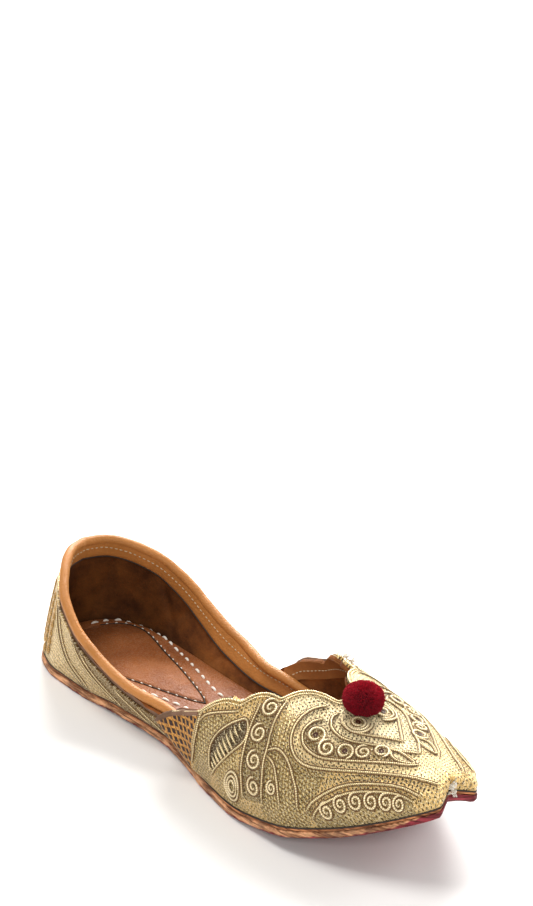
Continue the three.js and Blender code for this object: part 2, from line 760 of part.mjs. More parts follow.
const PIECES = [
  ["outsole", layer(0, 0, 0, OUTSOLE_THICK), 0x8a5a36, 0.7],
  ["midsole", layer(0, MIDSOLE_INSET, MIDSOLE_BASE, MIDSOLE_THICK), 0x74452c, 0.75],
  ["insole", layer(INSOLE_INSET, 0, FOOT_LINE, INSOLE_THICK), 0x5c3424, 0.8],
  ["insole_band", insoleBand, 0x6a3a28, 0.7],
  ["heel_pad", heelPad, 0x7b4631, 0.65],
  ["upper", upper, 0x6e4a30, 0.8],
  ["vamp_cover", vampCover, 0xc8b070, 0.45],
  ["weave_panel_left", panelLeft, 0xc08a48, 0.6],
  ["weave_panel_right", panelRight, 0xc08a48, 0.6],
  ["quarter_cover", quarterCover, 0xc2a566, 0.5],
  ["collar_binding", collarBinding, 0xb06c34, 0.6],
  ["pompom", pompom, 0x6e1f33, 0.95],
];

function meshOf(name, solid, colour, roughness) {
  const { vertProperties, triVerts } = solid.getMesh();
  const geometry = new THREE.BufferGeometry();
  geometry.setAttribute("position", new THREE.BufferAttribute(vertProperties, 3));
  geometry.setIndex(new THREE.BufferAttribute(triVerts, 1));
  const material = new THREE.MeshStandardMaterial({ color: colour, roughness, metalness: 0 });
  const mesh = new THREE.Mesh(geometry, material);
  mesh.name = name;
  return mesh;
}

const shoe = new THREE.Group();
shoe.name = "mojari_shoe";
PIECES.forEach(([name, solid, colour, roughness]) => {
  shoe.add(meshOf(name, solid, colour, roughness));
});

// Origin at the middle of the footprint, on the floor
const box = new THREE.Box3().setFromObject(shoe);
const centre = box.getCenter(new THREE.Vector3());
shoe.children.forEach((mesh) => mesh.geometry.translate(-centre.x, -centre.y, -box.min.z));

export default shoe;
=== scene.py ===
# %% [markdown]
# # Mojari slip-on shoe, one shoe standing on a pale floor
# A mojari is a flat leather slip-on from South Asia with a gold embroidered upper. It is sewn by
# hand from few pieces, so this lesson makes them one by one on a single surface, the form of the
# last. All lengths below are millimetres in the shoe's own frame, heel at x = 0 and toe at 250.

import math

import bpy
import numpy as np
from mathutils import Matrix, Vector


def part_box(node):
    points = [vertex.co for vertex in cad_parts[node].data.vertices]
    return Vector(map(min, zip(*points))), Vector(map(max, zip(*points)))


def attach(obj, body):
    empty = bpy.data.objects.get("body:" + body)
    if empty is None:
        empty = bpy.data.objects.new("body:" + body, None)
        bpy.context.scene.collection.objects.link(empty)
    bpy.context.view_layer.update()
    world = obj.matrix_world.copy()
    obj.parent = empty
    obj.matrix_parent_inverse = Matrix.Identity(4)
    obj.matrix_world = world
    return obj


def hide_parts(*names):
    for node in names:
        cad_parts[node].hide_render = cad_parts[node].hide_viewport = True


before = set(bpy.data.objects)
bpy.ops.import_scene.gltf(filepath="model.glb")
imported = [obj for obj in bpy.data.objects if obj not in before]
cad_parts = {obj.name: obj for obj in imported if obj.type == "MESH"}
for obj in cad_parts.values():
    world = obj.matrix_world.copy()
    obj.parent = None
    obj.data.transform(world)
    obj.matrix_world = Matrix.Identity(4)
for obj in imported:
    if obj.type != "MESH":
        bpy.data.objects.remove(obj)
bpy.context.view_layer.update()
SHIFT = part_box("outsole")[0].x * 1000
rng = np.random.default_rng(11)
print("heel of the sole at", round(SHIFT, 2), "mm from the middle of the shoe")

# %% [markdown]
# ## The form of the last
# The upper is stretched over a last. Its form is a row of cross sections: a wall from the foot
# line out to the widest line, then a dome up to a ridge. The sections are shares of three sizes,
# length, ball width and instep height, with smooth curves through them, so that every leather
# piece can lie on the same surface at its own height.

# %% Sections, collar and throat
LENGTH, BALL, INSTEP = 250.0, 87.0, 50.0
# columns: x, sole half width, x of widest line, its half width, its rise, crown, squareness
SECTIONS = np.array(
    [
        (0.0, 0.0, 0.036, 0.0, 0.98, 1.42, 5),
        (0.008, 0.122, 0.045, 0.095, 0.97, 1.42, 5),
        (0.024, 0.208, 0.063, 0.175, 0.94, 1.4, 5),
        (0.056, 0.294, 0.091, 0.258, 0.89, 1.36, 5),
        (0.12, 0.353, 0.144, 0.365, 0.78, 1.2, 5),
        (0.2, 0.357, 0.214, 0.411, 0.6, 1.04, 5),
        (0.3, 0.336, 0.304, 0.408, 0.42, 0.96, 4.5),
        (0.4, 0.329, 0.4, 0.397, 0.34, 1.0, 4),
        (0.48, 0.37, 0.48, 0.42, 0.36, 1.1, 2.8),
        (0.58, 0.454, 0.58, 0.468, 0.28, 1.12, 2.1),
        (0.68, 0.5, 0.68, 0.495, 0.18, 1.08, 2),
        (0.76, 0.497, 0.758, 0.488, 0.14, 1.0, 2),
        (0.84, 0.43, 0.836, 0.422, 0.11, 0.93, 2),
        (0.92, 0.31, 0.916, 0.303, 0.08, 0.89, 2),
        (0.972, 0.2, 0.967, 0.193, 0.06, 0.88, 2),
        (0.99, 0.152, 0.985, 0.146, 0.05, 0.88, 2),
        (0.9985, 0.1, 0.994, 0.096, 0.05, 0.88, 2),
        (1.0, 0.0, 0.996, 0.0, 0.05, 0.88, 2),
    ]
)
COLLAR = np.array(
    [
        (-0.1, 1.05),
        (0.036, 1.05),
        (0.052, 1.05),
        (0.08, 1.01),
        (0.112, 0.935),
        (0.152, 0.82),
        (0.232, 0.61),
        (0.312, 0.475),
        (0.392, 0.415),
        (0.46, 0.395),
        (0.54, 0.32),
    ]
)
THROAT = [(184.5, 0), (183, 5.5), (166, 20.5), (152, 29.5), (134, 38)]
RIDGE_BACK, RIDGE_FRONT = 42.5, 231.25
FOOT_LINE, FOOT_INSET = 4.8, 1.9
WALL, GAP, COVER, PIPING = 1.6, 0.3, 0.9, 2.2
EDGE_BELOW = PIPING + GAP


# %% [markdown]
# A last has no corners along its length. A curve through the sections that never swings past
# its points keeps the toe and the heel free of bumps, which a plain cubic would add.

# %% Smooth curves through listed sizes
def curve(keys, values):
    keys, values = np.asarray(keys, float), np.asarray(values, float)
    rate = np.diff(values) / np.diff(keys)
    slope = np.empty_like(values)
    slope[0], slope[-1] = rate[0], rate[-1]
    same = rate[:-1] * rate[1:] > 0
    total = np.where(same, rate[:-1] + rate[1:], 1)
    slope[1:-1] = np.where(same, 2 * rate[:-1] * rate[1:] / total, 0)

    def at(key):
        key = np.clip(key, keys[0], keys[-1])
        i = np.clip(np.searchsorted(keys, key, side="right") - 1, 0, len(keys) - 2)
        width = keys[i + 1] - keys[i]
        t = (key - keys[i]) / width
        r = 1 - t
        return (
            values[i] * (1 + 2 * t) * r * r
            + slope[i] * width * t * r * r
            + values[i + 1] * t * t * (3 - 2 * t)
            - slope[i + 1] * width * t * t * r
        )

    return at


def smooth(low, high, value):
    t = np.clip((value - low) / (high - low), 0, 1)
    return t * t * (3 - 2 * t)


# %% Curves of the form
SIZES = np.array([LENGTH, BALL, LENGTH, BALL, INSTEP, INSTEP, 1.0])
sec_x, sec_sole, sec_bx, sec_belly, sec_rise, sec_crown, sec_square = (SECTIONS * SIZES).T
sole_half = curve(sec_x, sec_sole)
crown_at = curve(sec_bx, sec_crown)
collar_at = curve(COLLAR[:, 0] * LENGTH, COLLAR[:, 1] * INSTEP)
steps = np.hypot(np.diff(sec_x), np.diff(sec_sole))
travel = np.concatenate([[0], np.cumsum(steps)])
TRAVEL = travel[-1]
rows = (sec_x, sec_sole, sec_bx, sec_belly, sec_rise, sec_square)
along = {n: curve(travel, r) for n, r in zip(("x", "sole", "bx", "belly", "rise", "square"), rows)}


# %% [markdown]
# The sole rises toward the toe, hollows a little under the arch and is folded between the two
# toe lobes. All layers of the sole follow this one height over the plan.

# %% Ground line and outline of the sole
def ground(x, y):
    """Underside of the sole: arch, toe spring and the fold between the two toe lobes."""
    spring = 32 * np.maximum(0, (x - 150) / 100) ** 2
    arch = 0.8 * smooth(50, 70, x) * smooth(125, 105, x)
    half = np.maximum(10, 0.72 * sole_half(x))
    crease = np.maximum(0, 1 - np.abs(y) / half)
    return spring + arch + 6 * np.clip((x / LENGTH - 0.86) / 0.14, 0, 1) * crease


def notch(x, y):
    return x - 6 * np.maximum(0, 1 - np.abs(y) / 10) * smooth(225, 250, x)


def outline(t, inset):
    """Plan outline of the left half of the sole, moved inward."""
    x, y = along["x"](t), along["sole"](t)
    xa, ya = np.r_[x[1], x[:-1]], np.r_[-y[1], y[:-1]]
    xb, yb = np.r_[x[1:], x[-2]], np.r_[y[1:], -y[-2]]
    run = np.hypot(xb - xa, yb - ya)
    px = x + (yb - ya) / run * inset
    py = np.maximum(0, y - (xb - xa) / run * inset)
    py[0] = py[-1] = 0
    return px, py


print("travel round half of the sole:", round(TRAVEL, 1), "mm")

# %% [markdown]
# ## A patch of the form, and a flat chart of it
# Embroidery is drawn flat and then lies on a curved shoe. So each patch keeps a chart: X along
# the shoe and Y as the length over the surface from the middle line. A motif placed in the chart
# keeps its size wherever the leather curves.


# %% Patch of the form
def patch(t, count):
    """Left half of the form at the travels t, with rows evenly spread from the ridge to the foot."""
    fx, fy = outline(t, FOOT_INSET)
    fz = ground(fx, fy) + FOOT_LINE
    bx, belly, rise = along["bx"](t), along["belly"](t), along["rise"](t)
    power = 2 / along["square"](t)
    s = np.linspace(0, 1, 50, endpoint=False)[:, None]
    wall = [
        fx + (bx - fx) * s**1.6,
        fy + (belly - fy) * (1 - (1 - s) ** 1.35),
        fz + rise * s,
    ]
    w = np.linspace(0, 1, 260)[:, None]
    angle = np.pi / 2 * w**2.2 / (w**2.2 + (1 - w) ** 2.2)
    inward, upward = np.cos(angle).clip(0) ** power, np.sin(angle) ** power
    inward[-1] = 0
    ridge = np.clip(bx, RIDGE_BACK, RIDGE_FRONT)
    dome = [
        ridge + (bx - ridge) * inward,
        belly * inward,
        fz + rise + (crown_at(ridge) - fz - rise) * upward,
    ]
    x, y, z = [np.concatenate([a, b])[::-1] for a, b in zip(wall, dome)]
    step = np.sqrt(np.diff(x, axis=0) ** 2 + np.diff(y, axis=0) ** 2 + np.diff(z, axis=0) ** 2)
    girth = np.concatenate([np.zeros((1, len(t))), np.cumsum(step, 0)])
    share = np.linspace(0, 1, count)
    even = np.empty((count, len(t), 3))
    for i in range(len(t)):
        spot = share * girth[-1, i]
        for k, values in enumerate((x, y, z)):
            even[:, i, k] = np.interp(spot, girth[:, i], values[:, i])
    even[..., 0] = notch(even[..., 0], even[..., 1])
    across, down = np.gradient(even, axis=1), np.gradient(even, axis=0)
    normal = np.cross(across, down)
    middle = np.stack([np.clip(even[..., 0], 45, 225), 0 * even[..., 1], 0 * even[..., 2] + 18], -1)
    turned = np.sign(((even - middle) * normal).sum(-1, keepdims=True))
    normal = normal * np.where(turned == 0, 1, turned)
    normal[0, :, 1] = 0
    normal[:, t <= 0, 1] = 0
    normal[:, t >= TRAVEL, 1] = 0
    normal /= np.linalg.norm(normal, axis=-1, keepdims=True) + 1e-9
    length = girth[-1]
    g = share[:, None] * length
    dx = bx - ridge
    run = np.maximum(np.hypot(dx, belly), 1e-6)
    chart = np.stack([ridge + g * dx / run, g * belly / run], -1)
    low = np.clip((length - g) / np.maximum(0.25 * np.maximum(rise, 6), 1e-6), 0, 1)
    flat = normal * np.array([1, 1, 0])
    flat /= np.linalg.norm(flat, axis=-1, keepdims=True) + 1e-9
    normal = normal * low[..., None] + flat * (1 - low[..., None])
    normal /= np.linalg.norm(normal, axis=-1, keepdims=True) + 1e-9
    return {"t": t, "pos": even, "normal": normal, "chart": chart, "low": low, "length": length}


# %% Lifting a patch off the form
def raised(p, height):
    """The patch moved out by a height; its foot only moves sideways and follows the sole."""
    high = height[..., None] if isinstance(height, np.ndarray) else height
    out = p["pos"] + p["normal"] * high
    foot = ground(out[..., 0], out[..., 1]) + FOOT_LINE
    out[..., 2] += (foot - out[..., 2]) * (1 - p["low"]) ** 2
    return out


def lap(x, z):
    """Height of the vamp leather above the form: it laps over the quarter and stands off."""
    rear = np.clip((z - 4) / 17, 0, 1)
    ahead = x - (128 - 18 * rear)
    return GAP + 1.4 * smooth(15, 4, ahead) + 3.0 * rear * smooth(24, 0, ahead)


def travels(x0, x1, count):
    t = np.linspace(0, TRAVEL, 4000)
    x = along["bx"](t)
    ends = np.interp([x0, x1], x, t)
    return np.linspace(ends[0], ends[1] if x1 < 249 else TRAVEL, count)


# %% [markdown]
# Cords and stitches need places between the rows of a patch. A fine table of the whole form
# is worked out once, and any chart point is then read from it.

# %% A fine table of the form
table = patch(np.linspace(0, TRAVEL, 700), 240)
ridge_x = np.clip(along["bx"](table["t"]), RIDGE_BACK, RIDGE_FRONT)
fan = np.arctan2(along["belly"](table["t"]), along["bx"](table["t"]) - ridge_x)
station = np.where(fan < 1.5707, RIDGE_FRONT + (np.pi / 2 - fan) * 20, along["bx"](table["t"]))
station = np.where(along["bx"](table["t"]) < RIDGE_BACK, 0, station)
station = np.maximum.accumulate(station)


def sample(index, row):
    """Position and normal of the table patch at fractions of its columns and rows."""
    index = np.clip(index, 0, table["pos"].shape[1] - 1.001)
    row = np.clip(row, 0, table["pos"].shape[0] - 1.001)
    i, r = index.astype(int), row.astype(int)
    a, b = (index - i)[:, None], (row - r)[:, None]
    out = []
    for name in ("pos", "normal"):
        v = table[name]
        near = v[r, i] * (1 - a) + v[r, i + 1] * a
        far = v[r + 1, i] * (1 - a) + v[r + 1, i + 1] * a
        out.append(near * (1 - b) + far * b)
    return out


# %% From a chart to a place on the shoe
def on_vamp(points, lift):
    """Chart points to places on the vamp leather, lift above it."""
    points = np.asarray(points, float)
    x, y = points[:, 0], np.abs(points[:, 1])
    turn = np.arctan2(y, x - RIDGE_FRONT)
    spot = np.where(x > RIDGE_FRONT, RIDGE_FRONT + (np.pi / 2 - turn) * 20, x)
    index = np.interp(spot, station, np.arange(len(station)))
    girth = np.where(x > RIDGE_FRONT, np.hypot(x - RIDGE_FRONT, y), y)
    length = np.interp(index, np.arange(len(station)), table["length"])
    pos, normal = sample(index, girth / length * (table["pos"].shape[0] - 1))
    out = pos + normal * (lap(pos[:, 0], pos[:, 2]) + COVER + lift)[:, None]
    side = np.where(points[:, 1] < 0, -1, 1)
    out[:, 1] *= side
    normal = normal * np.stack([np.ones_like(side), side, np.ones_like(side)], -1)
    return out, normal


def on_quarter(points, lift):
    """Points (travel along the sole, height up the wall) to places on the quarter leather."""
    points = np.asarray(points, float)
    index = np.abs(points[:, 0]) / TRAVEL * (len(station) - 1)
    length = np.interp(index, np.arange(len(station)), table["length"])
    row = (1 - points[:, 1] / length) * (table["pos"].shape[0] - 1)
    pos, normal = sample(index, row)
    side = np.where(points[:, 0] < 0, -1, 1)
    out = pos + normal * (GAP + COVER + lift)
    out[:, 1] *= side
    normal = normal * np.stack([np.ones_like(side), side, np.ones_like(side)], -1)
    return out, normal


print("table of the form:", table["pos"].shape)

# %% [markdown]
# ## Cutting and joining sheets
# A leather piece is a patch cut to its outline. A cut follows the line where a field is zero,
# which gives clean curved edges on any grid. The cut edge is then turned in to show the
# thickness of the leather.


# %% Mesh helpers
def strip(rows, columns, closed=False):
    """Quads of a grid as triangles."""
    r, c = np.meshgrid(np.arange(rows - 1), np.arange(columns if closed else columns - 1), indexing="ij")
    a = (r * columns + c).ravel()
    b = (r * columns + (c + 1) % columns).ravel()
    return np.concatenate([np.stack([a, b, a + columns], -1), np.stack([b, b + columns, a + columns], -1)])


def weld(points, carry, tris):
    _, first, back = np.unique(
        np.round(points * 2000).astype(np.int64), axis=0, return_index=True, return_inverse=True
    )
    tris = back.reshape(-1)[tris]
    good = (tris[:, 0] != tris[:, 1]) & (tris[:, 1] != tris[:, 2]) & (tris[:, 0] != tris[:, 2])
    return points[first], carry[first], tris[good]


# %% Cutting a sheet along a line
def clip(points, carry, tris, keep):
    """Keeps the part of a triangle mesh where keep is positive."""
    data = np.hstack([points, carry])
    sign = keep > 0
    count = sign[tris].sum(1)
    one, two = tris[count == 1], tris[count == 2]
    turn = np.argmax(sign[one], 1)
    one = np.stack([one[np.arange(len(one)), (turn + k) % 3] for k in range(3)], -1)
    turn = np.argmin(sign[two], 1)
    two = np.stack([two[np.arange(len(two)), (turn + k) % 3] for k in range(3)], -1)
    pairs = np.concatenate([one[:, [0, 1]], one[:, [0, 2]], two[:, [0, 1]], two[:, [0, 2]]])
    pairs = np.sort(pairs, 1)
    edges, back = np.unique(pairs, axis=0, return_inverse=True)
    back = back.reshape(-1) + len(points)
    a, b = edges[:, 0], edges[:, 1]
    share = (keep[a] / (keep[a] - keep[b]))[:, None]
    data = np.vstack([data, data[a] * (1 - share) + data[b] * share])
    n, m = len(one), len(two)
    p, q = back[:n], back[n : 2 * n]
    r, s = back[2 * n : 2 * n + m], back[2 * n + m :]
    faces = [
        tris[count == 3],
        np.stack([one[:, 0], p, q], -1),
        np.stack([r, two[:, 1], two[:, 2]], -1),
        np.stack([r, two[:, 2], s], -1),
    ]
    faces = np.concatenate(faces)
    used, faces = np.unique(faces, return_inverse=True)
    data = data[used]
    return data[:, :3], data[:, 3:], faces.reshape(-1, 3)


# %% Turned-in edges
def boundary(tris):
    """Edges with a face on one side only."""
    e = np.concatenate([tris[:, [0, 1]], tris[:, [1, 2]], tris[:, [2, 0]]])
    _, first, count = np.unique(np.sort(e, 1), axis=0, return_index=True, return_counts=True)
    return e[first[count == 1]]


def turned_in(points, carry, tris, depth, soft=0.25):
    """Adds a rounded cut edge going down the carried normal (the first three columns)."""
    edge = boundary(tris)
    ids, local = np.unique(edge, return_inverse=True)
    local = local.reshape(-1, 2)
    base, normal = points[ids], carry[ids, :3]
    new_points, faces, last = [], [], ids
    for k, fall in enumerate((soft, depth)):
        start = len(points) + k * len(ids)
        new_points.append(base - normal * fall)
        now = start + np.arange(len(ids))
        a, b = last[local[:, 0]], last[local[:, 1]]
        c, d = now[local[:, 0]], now[local[:, 1]]
        faces += [np.stack([b, a, c], -1), np.stack([b, c, d], -1)]
        last = now
    points = np.vstack([points] + new_points)
    carry = np.vstack([carry] + [carry[ids]] * 2)
    return points, carry, np.concatenate([tris] + faces)


# %% Distance to a line
def inside(poly, x, y):
    poly = np.asarray(poly, float)
    hit = np.zeros(x.shape, bool)
    for (x0, y0), (x1, y1) in zip(poly, np.roll(poly, -1, 0)):
        if y0 == y1:
            continue
        cross = ((y0 > y) != (y1 > y)) & (x < (x1 - x0) * (y - y0) / (y1 - y0) + x0)
        hit ^= cross
    return hit


def distance(line, x, y):
    """Distance from points to a polyline."""
    line = np.asarray(line, float)
    best = np.full(x.shape, 1e9)
    for (x0, y0), (x1, y1) in zip(line[:-1], line[1:]):
        dx, dy = x1 - x0, y1 - y0
        t = np.clip(((x - x0) * dx + (y - y0) * dy) / (dx * dx + dy * dy + 1e-12), 0, 1)
        best = np.minimum(best, np.hypot(x - x0 - t * dx, y - y0 - t * dy))
    return best


def signed(poly, x, y):
    closed = np.vstack([poly, poly[:1]])
    return np.where(inside(poly, x, y), 1, -1) * distance(closed, x, y)


# %% [markdown]
# A cord is a short tube swept along a smooth line. Its top is kept away from the leather, so
# it can be pressed a little flat, as a couched cord is.

# %% Lines and round cords
def spline(points, step=0.7):
    """Evenly spaced smooth line through given points."""
    p = np.asarray(points, float)
    run = np.concatenate([[0], np.cumsum(np.linalg.norm(np.diff(p, axis=0), axis=1))])
    if len(p) > 2:
        ends = np.vstack([2 * p[0] - p[1], p, 2 * p[-1] - p[-2]])
        fine = []
        for i in range(1, len(ends) - 2):
            t = np.linspace(0, 1, 24, endpoint=False)[:, None]
            a, b, c, d = ends[i - 1], ends[i], ends[i + 1], ends[i + 2]
            wave = 2 * b + (c - a) * t + (2 * a - 5 * b + 4 * c - d) * t**2
            fine.append(0.5 * (wave + (3 * b - a - 3 * c + d) * t**3))
        p = np.vstack(fine + [p[-1:]])
        run = np.concatenate([[0], np.cumsum(np.linalg.norm(np.diff(p, axis=0), axis=1))])
    count = max(2, int(run[-1] / step) + 1)
    spots = np.linspace(0, run[-1], count)
    return np.stack([np.interp(spots, run, p[:, k]) for k in range(p.shape[1])], -1)


def tube(path, up, radius, sides=6, flat=1.0, cap=True):
    """Points and triangles of a cord along a path; up is the direction away from the leather."""
    path = np.asarray(path, float)
    ahead = np.gradient(path, axis=0)
    ahead /= np.linalg.norm(ahead, axis=1, keepdims=True) + 1e-9
    side = np.cross(ahead, up)
    side /= np.linalg.norm(side, axis=1, keepdims=True) + 1e-9
    top = np.cross(side, ahead)
    angle = 2 * np.pi * np.arange(sides) / sides
    size = np.broadcast_to(np.asarray(radius, float), (len(path),))[:, None, None]
    ring = np.cos(angle)[None, :, None] * side[:, None] + flat * np.sin(angle)[None, :, None] * top[:, None]
    points = (path[:, None] + ring * size).reshape(-1, 3)
    tris = strip(len(path), sides, True)
    if cap:
        fans = [[0, k + 1, k] for k in range(1, sides - 1)]
        end = (len(path) - 1) * sides
        fans += [[end, end + k, end + k + 1] for k in range(1, sides - 1)]
        tris = np.concatenate([tris, np.array(fans)])
    return points, tris


def joined(parts):
    """One mesh from many small ones."""
    points, tris, start = [], [], 0
    for p, t in parts:
        points.append(p)
        tris.append(t + start)
        start += len(p)
    return np.vstack(points), np.concatenate(tris)


def soften(line, passes):
    """Takes small kinks out of a line."""
    for _ in range(passes):
        line[1:-1] = 0.25 * line[:-2] + 0.5 * line[1:-1] + 0.25 * line[2:]
    return line


# %% From a mesh to a piece of the shoe
def piece(name, points, tris, material, nodes=(), colours=None, chart=None):
    """Makes the object in the row frame, in metres, and lets it ride on the shoe."""
    mesh = bpy.data.meshes.new(name)
    place = (np.asarray(points) + np.array([SHIFT, 0, 0])) / 1000
    mesh.from_pydata(place.tolist(), [], np.asarray(tris).tolist())
    mesh.update()
    mesh.shade_smooth()
    if colours is not None:
        layer = mesh.color_attributes.new("tint", "FLOAT_COLOR", "POINT")
        rgba = np.hstack([colours, np.ones((len(colours), 1))]).astype(np.float32)
        layer.data.foreach_set("color", rgba.ravel())
    if chart is not None:
        layer = mesh.attributes.new("chart", "FLOAT_VECTOR", "POINT")
        flat = np.hstack([chart, np.zeros((len(chart), 3 - chart.shape[1]))]).astype(np.float32)
        layer.data.foreach_set("vector", flat.ravel())
    mesh.materials.append(material)
    thing = bpy.data.objects.new(name, mesh)
    bpy.context.scene.collection.objects.link(thing)
    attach(thing, "root")
    if nodes:
        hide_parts(*nodes)
    print(name, len(mesh.polygons), "faces")
    return thing


def both_sides(p, points):
    """Left half and its mirror image as one grid list with carried normal and chart."""
    rows_, columns = points.shape[:2]
    parts = []
    for side in (1, -1):
        flip = np.array([1, side, 1])
        pos = (points * flip).reshape(-1, 3)
        normal = (p["normal"] * flip).reshape(-1, 3)
        chart = (p["chart"] * flip[:2]).reshape(-1, 2)
        tris = strip(rows_, columns)
        parts.append((pos, np.hstack([normal, chart]), tris if side < 0 else tris[:, ::-1]))
    pos = np.vstack([a[0] for a in parts])
    carry = np.vstack([a[1] for a in parts])
    tris = np.concatenate([parts[0][2], parts[1][2] + len(parts[0][0])])
    return weld(pos, carry, tris)


# %% [markdown]
# ## Materials
# Vegetable tanned leather is matt with a fine grain. The gold leather is covered by metal thread,
# so it is half metal, with a bump at thread scale that breaks the shine into small sparks; its
# colour also carries painted glints and painted shade between the threads.


# %% Material helpers
class Nodes:
    """Short way to add shader nodes."""

    def __init__(self, name, colour, roughness, metallic=0.0, specular=0.5):
        self.material = bpy.data.materials.new(name)
        self.material.use_nodes = True
        self.tree = self.material.node_tree
        self.shader = self.tree.nodes["Principled BSDF"]
        self.set(self.shader, "Base Color", (*colour, 1))
        self.set(self.shader, "Roughness", roughness)
        self.set(self.shader, "Metallic", metallic)
        self.shader.inputs["Specular IOR Level"].default_value = specular

    def set(self, node, name, value):
        if isinstance(value, bpy.types.NodeSocket):
            self.tree.links.new(value, node.inputs[name])
        else:
            node.inputs[name].default_value = value

    def add(self, kind, **values):
        node = self.tree.nodes.new("ShaderNode" + kind)
        for name, value in values.items():
            if hasattr(node, name) and not isinstance(value, bpy.types.NodeSocket):
                setattr(node, name, value)
            else:
                self.set(node, name.replace("_", " "), value)
        return node

    def maths(self, operation, a, b=0.0, c=0.0):
        node = self.tree.nodes.new("ShaderNodeMath")
        node.operation = operation
        for i, value in enumerate((a, b, c)):
            self.set(node, i, value)
        return node.outputs[0]

    def place(self):
        return self.mapped(self.add("TexCoord").outputs["Object"], (1, 1, 1))

    def mapped(self, vector, scale):
        node = self.tree.nodes.new("ShaderNodeMapping")
        self.set(node, "Vector", vector)
        node.inputs["Scale"].default_value = scale
        return node.outputs[0]

    def noise(self, vector, scale, detail=4.0, rough=0.55):
        node = self.tree.nodes.new("ShaderNodeTexNoise")
        self.set(node, "Vector", vector)
        node.inputs["Scale"].default_value = scale
        node.inputs["Detail"].default_value = detail
        node.inputs["Roughness"].default_value = rough
        return node.outputs["Fac"]

    def cells(self, vector, scale, random=1.0):
        node = self.tree.nodes.new("ShaderNodeTexVoronoi")
        self.set(node, "Vector", vector)
        node.inputs["Scale"].default_value = scale
        node.inputs["Randomness"].default_value = random
        return node.outputs["Distance"]

    def ramp(self, value, low, high):
        node = self.tree.nodes.new("ShaderNodeMapRange")
        node.interpolation_type = "SMOOTHSTEP"
        self.set(node, "Value", value)
        node.inputs["From Min"].default_value = low
        node.inputs["From Max"].default_value = high
        return node.outputs[0]

    def blend(self, share, a, b, mode="MIX"):
        node = self.tree.nodes.new("ShaderNodeMix")
        node.data_type = "RGBA"
        node.blend_type = mode
        self.set(node, 0, share)
        self.set(node, 6, a if isinstance(a, bpy.types.NodeSocket) else (*a, 1))
        self.set(node, 7, b if isinstance(b, bpy.types.NodeSocket) else (*b, 1))
        return node.outputs[2]

    def bump(self, height, strength, depth):
        node = self.tree.nodes.new("ShaderNodeBump")
        node.inputs["Strength"].default_value = strength
        node.inputs["Distance"].default_value = depth
        self.set(node, "Height", height)
        self.set(self.shader, "Normal", node.outputs[0])

    def attribute(self, name, output="Vector"):
        node = self.tree.nodes.new("ShaderNodeAttribute")
        node.attribute_name = name
        return node.outputs[output]


# %% [markdown]
# Leather is never one tone. A soft cloud mixes its worn and its fresh colour, small cells give
# the pebbled grain, and painted shade darkens the suede of the lining down in the heel.

# %% Leather finish
def leather(name, colour, dark, roughness, grain, depth, patch_size=45, light=0.0, heel=1.0):
    """Tanned leather: cloudy tone, pebbled grain in cells a metre, painted shade toward the heel if asked."""
    n = Nodes(name, colour, roughness, 0.0, 0.25)
    where = n.place()
    cloud = n.noise(where, patch_size, 5, 0.6)
    tone = n.blend(n.ramp(cloud, 0.3, 0.72), dark, colour)
    # painted shade: toward the heel the tone is multiplied darker, for the shade deep inside the shoe
    if heel < 1:
        along = n.ramp(n.add("SeparateXYZ", Vector=where).outputs[0], -0.10, -0.035)
        tone = n.blend(along, n.blend(1.0, tone, (heel, heel, heel * 0.8), "MULTIPLY"), tone)
    fine = n.cells(where, grain)
    soft = n.noise(where, grain * 0.6, 3)
    tone = n.blend(n.maths("MULTIPLY", n.ramp(fine, 0.55, 0.1), light), tone, (1, 0.82, 0.66), "SCREEN")
    n.set(n.shader, "Base Color", tone)
    n.set(n.shader, "Roughness", n.maths("ADD", n.maths("MULTIPLY", soft, 0.25), roughness - 0.12))
    n.bump(n.maths("ADD", fine, n.maths("MULTIPLY", soft, 0.8)), 0.6, depth)
    return n.material


TAN = (0.50, 0.205, 0.055)
tan_leather = leather("tan_leather", TAN, (0.41, 0.165, 0.040), 0.48, 1000, 0.00028, 60)
SUEDE, SUEDE_WORN = (0.29, 0.095, 0.019), (0.095, 0.026, 0.005)
# heel=0.5 paints shade into the lining down in the heel
lining = leather("lining_leather", SUEDE, SUEDE_WORN, 0.8, 1300, 0.0002, 70, heel=0.5)
SEAT, SEAT_WORN = (0.33, 0.112, 0.032), (0.20, 0.057, 0.014)
insole_leather = leather("insole_leather", SEAT, SEAT_WORN, 0.46, 1000, 0.0005, 40, 0.05)
BOARD, BOARD_WORN = (0.20, 0.060, 0.022), (0.10, 0.028, 0.011)
rand_leather = leather("rand_leather", BOARD, BOARD_WORN, 0.42, 800, 0.0007, 60, 0.06)
edge_leather = leather("edge_leather", (0.24, 0.135, 0.085), (0.13, 0.07, 0.04), 0.7, 1600, 0.00015, 90)
white_thread = Nodes("white_thread", (0.80, 0.76, 0.68), 0.65).material
dark_thread = Nodes("dark_thread", (0.030, 0.018, 0.010), 0.7).material
print("leathers made")

# %% [markdown]
# ## Gold cloth, cord and weave
# The ground of the embroidery is laid metal thread, pricked by rows of needle holes. Light bands
# show dark holes, and the olive fields show bright short stitches. The third value of the chart
# says which of the two a place has.


